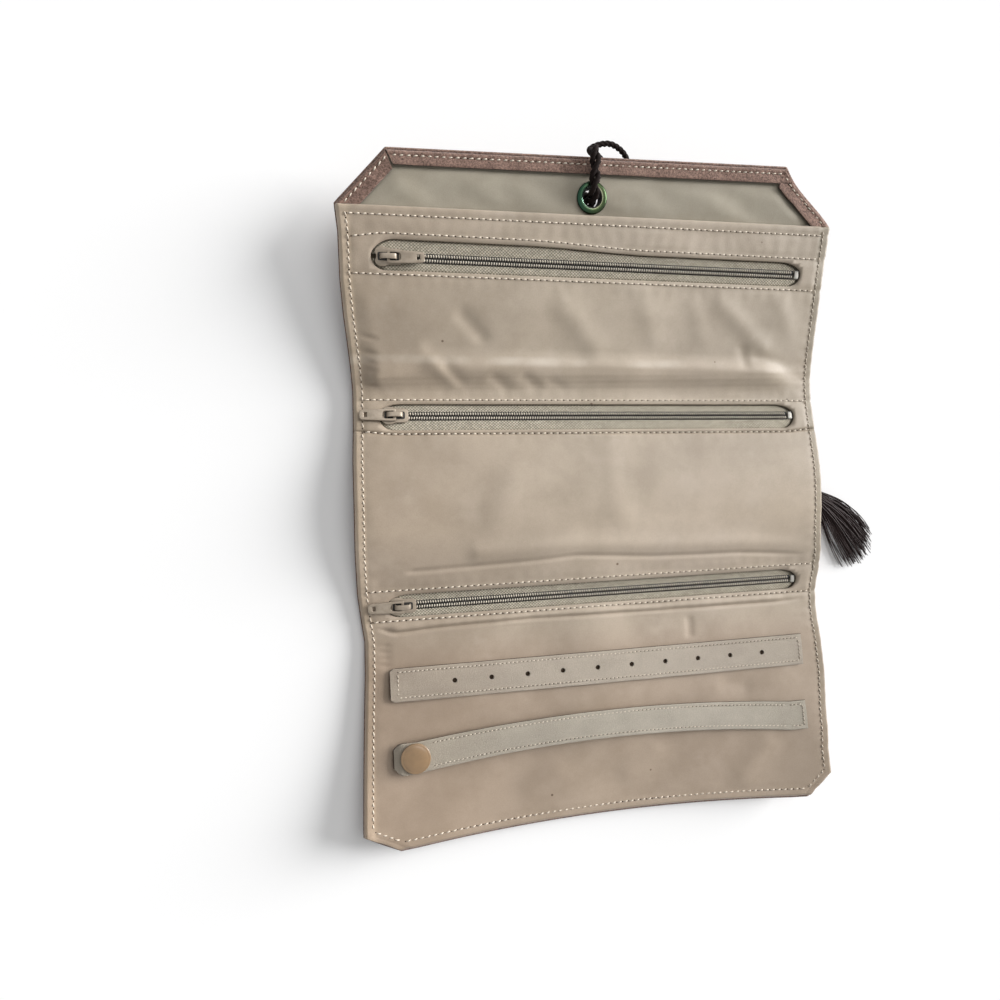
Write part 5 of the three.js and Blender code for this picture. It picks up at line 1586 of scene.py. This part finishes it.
def over_cloth(x, v, n):
    """A line on the cloth with its normals."""
    x, v = np.broadcast_arrays(np.asarray(x, float), np.asarray(v, float))
    line = surface(x, v, n)
    return line, surface(x, v, np.asarray(n) + 1.0) - line


def side_reach(v, sign):
    """How far out the stitches along a side of the roll run."""
    return half_width(v, sign) - SIDE_STITCH


def clip_stitch_ends(sign):
    """Where the stitches along a clipped lower corner start, along the roll, and end, across it."""
    width, length = LOWER_CLIP[sign]
    slant = math.hypot(width, length)
    corner = length - LOWER_LENGTH + SIDE_STITCH * (width / slant - (1 - length / slant) * length / width)
    inward = (1 - width / slant) * width / length - length / slant
    return corner, float(half_width(-LOWER_LENGTH, sign)) + SIDE_STITCH * inward


def rim_lines():
    """The stitch lines round the roll's sides and bottom, as x and v places for its top and bottom sheets."""
    lines = {"top": [], "bottom": []}
    bottom = -LOWER_LENGTH + SIDE_STITCH
    feet = {}
    for sign in (-1, 1):
        corner, feet[sign] = clip_stitch_ends(sign)
        for part, end, count in (("top", POCKET_TOP - 1.5, 80), ("bottom", corner, 120)):
            v = np.linspace(SEAM_V, end, count)
            lines[part].append((sign * side_reach(v, sign), v))
        lines["bottom"].append((sign * np.linspace(float(side_reach(corner, sign)), feet[sign], 20),
                                np.linspace(corner, bottom, 20)))
    lines["bottom"].append((np.linspace(-feet[-1], feet[1], 120), np.full(120, bottom)))
    return lines


def lining_stitches():
    seat = LINING_TOP - 0.30
    rows = {part: [over_cloth(x, v, seat) for x, v in lines] for part, lines in rim_lines().items()}
    for level in stitch_levels():
        part = "top" if level >= SEAM_V - 0.01 else "bottom"
        x = np.linspace(0.4 - side_reach(level, -1), side_reach(level, 1) - 0.4, 140)
        rows[part].append(over_cloth(x, level, seat))
    for part, carried in FOLD_OF.items():
        stitched(f"lining_{part}_stitching", rows[part], "lining", carried)


def shell_stitches():
    """The same thread seen on the shell's outside, round its sides, bottom and flap."""
    def underneath(x, v):
        line = surface(x, v, 0.0)
        return line, line - surface(x, v, 1.0), fold_stretch((v[1:] + v[:-1]) / 2)

    lines = rim_lines()
    lines["top"] += [(place[:, 0], place[:, 1]) for place in hem_stitch_lines()]
    for part, carried in FOLD_OF.items():
        rows = [underneath(x, v) for x, v in lines[part]]
        stitched(f"outer_shell_{part}_stitching", rows, "suede", carried)


def fold_stretch(v):
    """How many times longer the shell gets at a place along the roll when both folds are closed."""
    stretch = np.ones_like(v)
    for joint, fold_v, foot, (start, end) in (("fold_upper", MIDDLE_SPAN, MIDDLE_LIFT, UPPER_BEND),
                                              ("fold_lower", 0.0, 0.0, LOWER_BEND)):
        share = np.clip((v - fold_v - start) / (end - start), 0, 1)
        bend = 6 * share * (1 - share) / abs(end - start)
        stretch += math.pi * (JOINTS[joint]["pos_m"][2] / MM - foot) * bend
    return stretch


def hem_stitch_lines():
    """The stitch lines of the flap's three hems, as rows of (x, v) places."""
    share = np.linspace(0, 1, 60)[:, None]
    for where in HEMS:
        start, end, inward, (first, last) = hem_line(where)
        length = np.linalg.norm(end - start)
        along = HEM_STITCH * first + (length + HEM_STITCH * (last - first)) * share
        if where == "top":
            along = HEM_STITCH * abs(first) + (length - 2 * HEM_STITCH * abs(first)) * share
        place = start + (end - start) / length * along + inward * HEM_STITCH
        place[:, 0] += hem_shift(where, place[:, 1])
        yield place


def hem_stitches():
    rows = [over_cloth(place[:, 0], place[:, 1], HEM_SEAT) for place in hem_stitch_lines()]
    stitched("flap_hem_stitching", rows, "suede", "upper_panel")


# Zippers

COIL_PITCH = 1.15
COIL_WIRE = 0.33
COIL_LEVEL = 4.17
TAPE_HEIGHT = 4.1
TAPE_THICKNESS = 0.35
BED_REACH = {1: 1.95, -1: 2.1}
LIP_SHADOW = 1.5
CHAIN_HALVES = (("upper", 1), ("lower", -1))


def tape_dip(x, t):
    """How far a tape drops towards the slot's outline, deepest under the upper lip and at the ends."""
    past, level = slot_share(x, t)
    deep = np.maximum(np.where(t > 0, 1.0, 0.2), ease(past / 0.5))
    return LIP_SHADOW * deep * ease((np.hypot(past, level) - 0.86) / 0.12)


def make_tapes(k):
    across = np.concatenate([np.linspace(0.9, 6.4, 19), [8.0, 9.6, 11.2]])
    end, straight = SLOT_HALF_LENGTH + 3.6, SLOT_HALF_LENGTH - 12
    x = stations([-end, -straight, straight, end], 1.2)
    t, long = np.meshgrid(across, x, indexing="ij")
    for word, side in CHAIN_HALVES:
        slack = 0.08 * smooth_noise(long, t, 26, 80 + k + side, 1) + 0.1
        pushed = side * slot_bulge(long, ZIP_ALONG[k] + side * SLOT_HALF_HEIGHT)
        n = TAPE_HEIGHT - tape_dip(long, side * np.maximum(t - pushed, 0.1)) + slack * ease((t - 2.4) / 1.5)
        points = on_zip(k, np.stack([long, side * t, n], -1))
        faces = [face[::side] for face in grid_faces(*t.shape)]
        node = f"zip_{k}_tape_{word}"
        piece = mesh_piece(f"zip_{k}_{word}_tape_twill", points, faces, TAPE_TWILL)
        thick(piece, TAPE_THICKNESS)
        dressed(piece, "zip_tape", ZIP_BODY[k], node)
        cut_flat(piece, x[-1] - x[0], across[-1] - across[0], node)


def chain_spread(x):
    """How far a chain half moves outwards where the slider parts it."""
    return 0.55 * ease((SLIDER_X + 3.4 - x) / 4.5)


def chain_bed(start, end, side):
    """A near-black strip under one half of the chain: painted shade for the gaps beside the chain, partly the dark
    thread that sews it.
    """
    x = np.linspace(start - 0.4, end, 60)
    ring = [(0.08, 3.75), (0.08, 4.15), (0.5, 4.24), (BED_REACH[side], 4.24), (BED_REACH[side], 3.75)]
    points = [[at, side * (t + move), n] for at, move in zip(x, chain_spread(x)) for t, n in ring]
    return np.array(points), tube_faces(len(x), len(ring))


def make_coils(k):
    """Each half of the chain as a row of rounded coil turns on a near-black strip of painted shade."""
    start, end = SLIDER_X - 5.6, END_STOP_X - 0.4
    turns = int((end - start) / COIL_PITCH)
    arch = np.radians(np.linspace(-20, 200, 7))
    for word, side in CHAIN_HALVES:
        parts = [chain_bed(start, end, side)]
        for turn in range(turns):
            x = start + COIL_PITCH * (turn + (0.0 if side > 0 else 0.5))
            line = np.stack([x + 0.06 * np.cos(arch), side * (1.0 + chain_spread(x) - 0.34 * np.cos(arch)),
                             COIL_LEVEL + 0.30 * np.sin(arch)], -1)
            parts.append(tube(line, COIL_WIRE, 7))
        points, faces = gathered(parts)
        piece = mesh_piece(f"zip_{k}_{word}_coil", on_zip(k, points), faces, COIL_NYLON)
        marked(piece, PAINTED_SHADE_BLACK, np.arange(len(faces)) < len(parts[0][1]))
        dressed(piece, "zip_teeth", ZIP_BODY[k], f"zip_{k}_teeth_{word}")


STAPLE_FOOT = 3.2
STAPLE_ARCH = [(-2.1, 3.2), (-2.1, 4.4), (-1.7, 4.85), (1.7, 4.85), (2.1, 4.4), (2.1, 3.2), (1.5, 3.2),
               (1.4, 4.1), (-1.4, 4.1), (-1.5, 3.2)]
# Distances along the staple, and its size there
STAPLE_RINGS = [(0.0, 0.94), (0.3, 1.0), (1.7, 1.0), (2.0, 0.94)]


def make_end_stop(k):
    """A crimped staple over the end of the chain."""
    points = [[END_STOP_X + dx, t * gain, STAPLE_FOOT + (n - STAPLE_FOOT) * gain]
              for dx, gain in STAPLE_RINGS for t, n in STAPLE_ARCH]
    faces = tube_faces(len(STAPLE_RINGS), len(STAPLE_ARCH))
    piece = mesh_piece(f"zip_{k}_end_staple", on_zip(k, points), faces, BRIGHT_STEEL)
    dressed(crisp(piece, 40), "steel", ZIP_BODY[k], f"zip_{k}_end_stop")


SLIDER_PLAN = [(6.1, -2.6), (6.1, 2.6), (4.6, 3.3), (0.3, 3.3), (-1.8, 4.1), (-4.3, 4.1), (-6.1, 2.2),
               (-4.9, 0.0), (-6.1, -2.2), (-4.3, -4.1), (-1.8, -4.1), (0.3, -3.3), (4.6, -3.3)]
SLIDER_CORNERS = [1.2, 1.2, 1.0, 1.5, 1.5, 1.6, 1.2, 1.0, 1.2, 1.6, 1.5, 1.5, 1.0]
SLIDER_LIP = [(4.5, 2.7), (4.5, 3.3), (0.3, 3.3), (-1.8, 4.1), (-4.3, 4.1), (-4.3, 3.4), (-2.0, 3.4),
              (0.2, 2.7)]
SLIDER_WEDGE = [(-3.4, 0), (-1.7, -0.9), (0, 0), (-1.7, 0.9)]
# A near-black plate on the slider's top under the pull's eye: painted shade
SLIDER_EYE_SHADE = [(-4.6, -1.75), (4.6, -1.75), (4.6, 1.75), (-4.6, 1.75)]


def make_slider(k):
    """Two eased plates with side lips, a wedge between them and an arched bridge on top."""
    outline = rounded(SLIDER_PLAN, SLIDER_CORNERS, 4)
    layers = [("slider_top", outline, 4.9, 5.6, ANTIQUE_BRASS, 0.2),
              ("slider_low", outline, 2.2, 2.9, ANTIQUE_BRASS, 0.2)]
    for sign in (-1, 1):
        lip = rounded([(u, sign * w) for u, w in SLIDER_LIP], 0.2, 2)
        layers += [("slider_lip", lip, 4.4, 5.1, ANTIQUE_BRASS, 0.12),
                   ("slider_lip_low", lip, 2.7, 3.4, ANTIQUE_BRASS, 0.12)]
    # The last layer is the near-black plate of painted shade under the pull's eye
    layers += [("slider_wedge", rounded(SLIDER_WEDGE, 0.15, 2), 2.5, 5.3, ANTIQUE_BRASS, 0.05),
               ("slider_recess", rounded(SLIDER_EYE_SHADE, 0.8, 4), 5.3, 5.64, PAINTED_SHADE_BLACK, 0.05)]
    parts = [plate(name, shape, [], low, high, material, bevel)
             for name, shape, low, high, material, bevel in layers]
    piece = joined(f"zip_{k}_slider_body", [*parts, make_bridge()])
    set_on_zip(piece, k, (SLIDER_X, 0, 0))
    dressed(piece, "antique_brass", f"zip_{k}_slider", f"zip_{k}_slider")


def make_bridge():
    route = [(-3.35, 5.3), (-3.35, 6.6), (-2.9, 7.5), (-1.6, 7.78), (0, 7.8), (1.6, 7.78), (2.9, 7.5),
             (3.35, 6.6), (3.35, 5.3)]
    line, _ = smooth_path([[u, 0, n] for u, n in route], 0.45)
    section = rounded([(-1.1, -0.33), (1.1, -0.33), (1.1, 0.33), (-1.1, 0.33)], 0.2, 2)
    side = np.array([0.0, 1.0, 0.0])
    out = np.cross(unit(np.gradient(line, axis=0)), side)
    points = [p + side * s + o * w for p, o in zip(line, out) for s, w in section]
    return crisp(mesh_piece("slider_bridge", points, tube_faces(len(line), len(section)), ANTIQUE_BRASS), 40)


def make_pull(k):
    """A flat pull tab with an eye at the bridge and a small hole by its free end."""
    outline = rounded([(-0.6, -2.8), (3.0, -2.8), (15.6, -2.2), (15.6, 2.2), (3.0, 2.8), (-0.6, 2.8)],
                      [0.9, 1.5, 1.5, 1.5, 1.5, 0.9], 5)
    eye = rounded([(0.6, -1.7), (5.4, -1.7), (5.4, 1.7), (0.6, 1.7)], [0.4, 1.6, 1.6, 0.4], 5)
    hole = rounded([(12.2, -1.1), (13.6, -1.1), (13.6, 1.1), (12.2, 1.1)], 0.3, 3)
    piece = plate(f"zip_{k}_pull_tab", outline, [eye, hole], -0.5, 0.5, ANTIQUE_BRASS, 0.2)
    set_on_zip(piece, k, (SLIDER_X, 0, 6.5), PULL_HEADING[k])
    dressed(piece, "antique_brass", f"zip_{k}_pull", f"zip_{k}_pull")


def make_zippers():
    for k in ZIP_ALONG:
        make_tapes(k)
        make_coils(k)
        make_end_stop(k)
        make_slider(k)
        make_pull(k)


# Grommet

def on_flap(piece, node):
    fold = Matrix.Translation(Vector((0, UPPER_FOLD_Y, MIDDLE_LIFT)) * MM)
    place = fold @ Matrix.Rotation(UPPER_TILT, 4, "X")
    moved(piece, place @ Matrix.Translation(Vector((GROMMET_X, GROMMET_S, 0)) * MM))
    dressed(piece, "bright_brass", "upper_panel", node)


# Tones out from the bore: painted shade inside, a painted highlight as a bright ring round the throat, then tarnished
# green brass
GROMMET_TONES = ((0.60, (0.10, 0.10, 0.09)), (0.63, (0.48, 0.50, 0.43)), (0.67, (0.40, 0.42, 0.31)),
                 (0.71, (0.05, 0.070, 0.036)), (1.0, (0.026, 0.045, 0.028)))
GROMMET_SHADE = 4.5
GROMMET_REACH = 7.2


def grommet_material():
    """Brass with a painted highlight as a bright ring round its throat, painted shade inside the throat, tarnished
    green outside, and bluer on its left.
    """
    made, tree, shader = shader_of("grommet_brass", (0.5, 0.45, 0.25), 0.2, metallic=1.0)
    centre = Vector(on_upper(GROMMET_X, GROMMET_S, 3.0)) * MM
    away = add(tree, "ShaderNodeVectorMath", {0: places(tree), 1: centre}, operation="SUBTRACT")
    axes = axes_of(tree, away.outputs[0])
    flat = add(tree, "ShaderNodeCombineXYZ", {axis: axes[axis] for axis in "XY"})
    reach = add(tree, "ShaderNodeVectorMath", {0: flat.outputs[0]}, operation="LENGTH").outputs["Value"]
    rings = ramp(tree, share_of(tree, reach, 0.0, GROMMET_REACH), *GROMMET_TONES)
    across = share_of(tree, axes["X"], -GROMMET_REACH, GROMMET_REACH)
    tint = ramp(tree, across, (0.1, (0.6, 1.0, 1.1)), (0.6, (1.0, 1.0, 0.85)))
    rough = gray(tree, noise(tree, 2.0, 4.0), 0.14, 0.34)
    finish(tree, shader, multiplied(tree, rings, tint), noise(tree, 0.8), 0.03, 0.25, rough)
    return made


GROMMET_BACK = [(5.05, -1.2), (6.6, -1.2), (7.05, -0.9), (7.1, -0.4), (5.05, -0.4)]


def make_grommet():
    brass = grommet_material()
    crown = arc(5.5, 1.6, 2.65, 1.15, np.linspace(0, 90, 7))
    throat = arc(5.5, 1.6, 2.3, 1.5, np.linspace(105, 180, 7))
    profile = [*crown, *throat, (3.9, -1.2), (4.6, -1.2), (4.7, 2.4), (6.9, 2.45)]
    front = ring_turned("grommet_front_ring", profile, brass)
    # Faces inside the bore take near-black painted shade
    shaded = [math.hypot(*face.center[:2]) / MM < GROMMET_SHADE for face in front.data.polygons]
    on_flap(marked(front, PAINTED_SHADE_BLACK, shaded), "grommet_front")
    back = ring_turned("grommet_back_washer", GROMMET_BACK, brass)
    on_flap(shade_by_angle(back, 40), "grommet_back")


# Earring strip, ring strap and snap on the lower panel

STRIP_V = -20.2
STRIP_HALF = HALF_WIDTH - 11.8
STRIP_WIDTH = 15.2
STRIP_BASE = 5.4
STRIP_THICKNESS = 1.1
STRIP_TAB = 2.0
STRIP_CORNER = 3.0
HOLE_PITCH = 17.1
HOLE_SHIFT = 3.6
HOLES = 10
HOLE_RADIUS = 1.15
STRAP_V = -52.4
STRAP_LEFT = -HALF_WIDTH + 12.0
STRAP_RIGHT = HALF_WIDTH - 12.8
STRAP_SEWN = STRAP_RIGHT - 9.0
STRAP_WIDTH = 14.0
STRAP_BOW = 5.6
STRAP_ARCH = 2.0
SNAP_X = STRAP_LEFT + 10.0
SNAP_LIFT = 2.0
TIP_DROOP = 1.9
TIP_LENGTH = 4.4
STRAP_CORNER = 3.4
STRAP_FOLD = 6.0
EDGE_STITCH = 1.9


def strip_height(x):
    return STRIP_BASE + 0.3 * np.sin(math.pi * np.clip((x + STRIP_HALF) / (2 * STRIP_HALF), 0, 1))


def band(name, x, width, height, middle, material):
    """A flat band across the lower panel: its underside height and its middle line are functions of x."""
    t = np.concatenate([[-0.5, -0.485, -0.45], np.linspace(-0.40, 0.40, 9), [0.45, 0.485, 0.5]]) * width
    long, across = np.meshgrid(x, t, indexing="ij")
    crown = -0.28 * bell(np.abs(across) - (width / 2 - EDGE_STITCH), 0.9)
    top = height(long) + STRIP_THICKNESS + crown - 0.25 * ease((np.abs(across) - width / 2 + 0.5) / 0.5)
    points = surface(long, middle(long) + across, top + 0.12 * smooth_noise(long, across * 2, 24, 91, 1))
    piece = mesh_piece(name, points, [face[::-1] for face in grid_faces(*long.shape)], material)
    outline = np.zeros((len(x) - 1, len(t) - 1), int)
    outline[:, -1] = 1
    if x[0] < STRAP_SEWN - 1:
        outline[0] = 1
    # The band's cut edges, and its top along the upper edge and snap end, take near-black suede: partly its own dark
    # edge, partly painted shade
    thick(marked(piece, CUT_EDGE_AND_SHADE, outline.ravel()), STRIP_THICKNESS, material_offset_rim=1)
    for face in piece.data.polygons:
        if abs(face.center.x / MM - STRAP_SEWN) < 0.15 and abs(face.normal.x) > 0.7:
            face.material_index = 0
    return piece


def drawn_in(piece, middle, reach):
    """Draws in a band's corners. Its middle, and how far it may reach from it, are functions of x."""
    for vertex in piece.data.vertices:
        x = vertex.co.x / MM
        centre, limit = middle(x), reach(x)
        away = vertex.co.y / MM - centre
        if abs(away) > limit:
            vertex.co.y = (centre + math.copysign(limit, away)) * MM
    piece.data.update()


def band_stitches(name, x0, x1, width, top, middle, carried, ends=(True, True)):
    edge = width / 2 - EDGE_STITCH
    x = np.linspace(x0 + EDGE_STITCH, x1 - EDGE_STITCH, 130)
    rows = [over_cloth(x, middle(x) + side * edge, top(x) - 0.06) for side in (-1, 1)]
    across = np.linspace(-edge, edge, 12)
    for wanted, at in zip(ends, (x[0], x[-1])):
        if wanted:
            rows.append(over_cloth(np.full(12, at), middle(at) + across, top(at) + 0.1))
    stitched(name, rows, "strip_suede", carried, BAND_PITCH)


def hole_x(k):
    return HOLE_SHIFT + (k - (HOLES - 1) / 2) * HOLE_PITCH


def hole_bottoms():
    """Painted shade in the strip's holes: a low near-black dome at the foot of each."""
    parts = []
    for k in range(HOLES):
        foot, above = surface(hole_x(k), STRIP_V, [STRIP_BASE + 0.4, STRIP_BASE + 1.4])
        up = unit(above - foot)
        parts.append(tiny_dome(foot, np.array([1.0, 0, 0]), np.cross(up, [1.0, 0, 0]), up, HOLE_RADIUS + 0.1))
    points, faces = gathered(parts)
    return mesh_piece("strip_hole_bottoms", points, faces, NEEDLE_HOLE_SHADE)


def strip_reach(x):
    """How far the strip may reach from its middle at a place along it: its left corners are rounded."""
    short = STRIP_CORNER - STRIP_HALF - x
    if short <= 0:
        return math.inf
    return STRIP_WIDTH / 2 - STRIP_CORNER + math.sqrt(max(STRIP_CORNER ** 2 - short ** 2, 0))


def strip_middle(x):
    return STRIP_V + 0 * np.asarray(x)


def make_earring_strip():
    left = -STRIP_HALF + np.array([0, 0.4, 0.8, 1.3, 2.0])
    x = np.concatenate([left, np.linspace(-STRIP_HALF + 3, STRIP_HALF, 118)])
    strip = band("earring_strip_suede", x, STRIP_WIDTH, strip_height, strip_middle, STRIP_SUEDE)
    drawn_in(strip, lambda at: surface(at, STRIP_V, STRIP_BASE)[1], strip_reach)
    cutters = []
    for k in range(HOLES):
        low, high = surface(hole_x(k), STRIP_V, 3.0), surface(hole_x(k), STRIP_V, 10.0)
        points, faces = tube(np.stack([low, (low + high) / 2, high]), HOLE_RADIUS, 20)
        cutters.append(mesh_piece(f"strip_hole_{k}", points, faces, STRIP_SUEDE))
    cutter = joined("strip_holes", cutters)
    with_modifier(strip, "BOOLEAN", object=cutter, operation="DIFFERENCE", solver="EXACT")
    bpy.data.objects.remove(cutter)
    strip = shade_by_angle(joined("earring_strip_suede", [strip, hole_bottoms()]), 45)
    dressed(strip, "strip_suede", "lower_panel", "earring_strip")
    cut_flat(strip, 2 * STRIP_HALF, STRIP_WIDTH, "lining_lower")
    band_stitches("earring_strip_stitching", -STRIP_HALF + STRIP_TAB, STRIP_HALF, STRIP_WIDTH,
                  lambda at: strip_height(at) + STRIP_THICKNESS, strip_middle, "lower_panel")


def strap_height(x):
    flat_to = SNAP_X + 7.0
    share = np.clip((x - flat_to) / (STRAP_SEWN - flat_to), 0, 1)
    droop = TIP_DROOP * ease((STRAP_LEFT + TIP_LENGTH - x) / TIP_LENGTH)
    return STRIP_BASE + SNAP_LIFT * (1 - ease(share)) + STRAP_ARCH * np.sin(math.pi * share) ** 2 - droop


def strap_middle(x):
    share = np.clip((np.asarray(x, float) - SNAP_X) / (STRAP_SEWN - SNAP_X), 0, 1)
    return STRAP_V + STRAP_BOW * np.sin(math.pi * share)


def blend_strap(piece):
    """Lets the strap fold over next to its sewn end when it is lifted."""
    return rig.blend(piece, "lower_panel", "ring_strap",
                    start=(STRAP_SEWN * MM, 0, 0), end=((STRAP_SEWN - STRAP_FOLD) * MM, 0, 0))


def strap_reach(x):
    """How far the strap may reach from its middle at a place along it: its snap end is clipped."""
    return STRAP_WIDTH / 2 - STRAP_CORNER * max(0.0, (STRAP_LEFT + STRAP_CORNER - x) / STRAP_CORNER)


def sewn_height(x):
    return STRIP_BASE + 0 * np.asarray(x)


def make_ring_strap():
    fold = STRAP_SEWN - STRAP_FOLD
    x = np.concatenate([[STRAP_LEFT], np.linspace(STRAP_LEFT + 0.4, fold, 116),
                        np.linspace(fold, STRAP_SEWN, 17)[1:]])
    strap = band("ring_strap_suede", x, STRAP_WIDTH, strap_height, strap_middle, STRAP_SUEDE)
    drawn_in(strap, lambda at: surface(at, strap_middle(at), strap_height(at))[1], strap_reach)
    dressed(shade_by_angle(strap, 45), "strip_suede", blend_strap, "ring_strap")
    cut_flat(strap, STRAP_SEWN - STRAP_LEFT, STRAP_WIDTH, "snap_socket")
    sewn_x = np.linspace(STRAP_SEWN, STRAP_RIGHT, 8)
    sewn = band("ring_strap_end_suede", sewn_x, STRAP_WIDTH, sewn_height, strap_middle, STRAP_SUEDE)
    dressed(shade_by_angle(sewn, 45), "strip_suede", "lower_panel", "ring_strap_sewn_end")
    for name, start, end, height, carried, right in (
            ("ring_strap_stitching", SNAP_X + 6.0, STRAP_SEWN, strap_height, blend_strap, False),
            ("ring_strap_end_stitching", STRAP_SEWN - 1.5, STRAP_RIGHT, sewn_height, "lower_panel", True)):
        band_stitches(name, start, end, STRAP_WIDTH, lambda at: height(at) + STRIP_THICKNESS, strap_middle,
                      carried, (False, right))


def make_snap():
    profile = [(6.2, 0.0)]
    profile += arc(6.25, 0.45, 0.5, 0.45, np.linspace(-70, 80, 6))
    profile += arc(0.0, 5.9, 0.75, 0.65, np.linspace(12, 88, 9))
    cap = turned("snap_cap_enamel", profile, SNAP_ENAMEL, 72)
    low, high = (np.array(c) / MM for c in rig.box("snap_cap"))
    centre = (low + high) / 2
    foot = Matrix.Translation(Vector((*centre[:2], low[2] + 0.5)) * MM)
    place = foot @ Matrix.Rotation(-LOWER_TILT, 4, "X")
    dressed(shade_by_angle(moved(cap, place), 50), "snap_enamel", "ring_strap", "snap_cap")
    for node in ("snap_socket", "snap_stud"):
        shown = frame["nodes"][node].data.materials
        shown.clear()
        shown.append(BRIGHT_STEEL)


# Table and light

FLOOR_COLOR = (0.95, 0.95, 0.95)
FLOOR_REACH = 3000
FLOOR_GLOW = 0.06
SKY_LIGHT = 0.25


def make_stage():
    corners = [[x * FLOOR_REACH, y * FLOOR_REACH, 0] for x, y in ((-1, -1), (1, -1), (1, 1), (-1, 1))]
    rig.stage(mesh_piece("table", corners, [(0, 1, 2, 3)], floor_material(), smooth=False))
    scene = bpy.context.scene
    scene.view_settings.view_transform = "Standard"
    scene.world = bpy.data.worlds.new("studio")
    scene.world.use_nodes = True
    tree = scene.world.node_tree
    sky = tree.nodes["Background"].inputs
    feed(tree, sky["Color"], WHITE)
    feed(tree, sky["Strength"], gray(tree, seen_directly(tree), SKY_LIGHT, 1.0))
    sun("low_window", (0.905, 0.257, 0.339), 5.1, 35)
    sun("overhead", (0.33, 0.38, 0.86), 0.75, 40)


def sun(name, direction, strength, softness):
    data = bpy.data.lights.new(name, "SUN")
    data.energy = strength
    data.angle = math.radians(softness)
    light = linked(name, data)
    light.rotation_mode = "QUATERNION"
    light.rotation_quaternion = Vector(direction).to_track_quat("Z", "Y")


def seen_directly(tree):
    """1 for what the camera sees or metal mirrors, and 0 for the light that falls on things."""
    rays = add(tree, "ShaderNodeLightPath").outputs
    return worked_out(tree, "MAXIMUM", rays["Is Camera Ray"], rays["Is Glossy Ray"])


def floor_material():
    """White table top that keeps its shadows: the camera sees a little glow added to it."""
    made = bpy.data.materials.new("white_table")
    made.use_nodes = True
    tree = made.node_tree
    tree.nodes.clear()
    paint = add(tree, "ShaderNodeBsdfDiffuse", {"Color": FLOOR_COLOR}).outputs[0]
    strength = gray(tree, seen_directly(tree), 0.0, FLOOR_GLOW)
    glow = add(tree, "ShaderNodeEmission", {"Color": WHITE, "Strength": strength}).outputs[0]
    both = add(tree, "ShaderNodeAddShader", {0: paint, 1: glow}).outputs[0]
    add(tree, "ShaderNodeOutputMaterial", {"Surface": both})
    return made


make_camera()
cords = make_cords()
make_knot()
declare_cords(cords, make_tassel())
make_stage()
dress_shell()
dress_backing()
dress_flap_lining()
dress_hems()
dress_lining()
lining_stitches()
hem_stitches()
shell_stitches()
make_zippers()
make_grommet()
make_earring_strip()
make_ring_strap()
make_snap()

with open("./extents.json", "w") as handle:
    json.dump({"cad": CAD_BOX, "visual": [list(corner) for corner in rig.bounds()]}, handle)
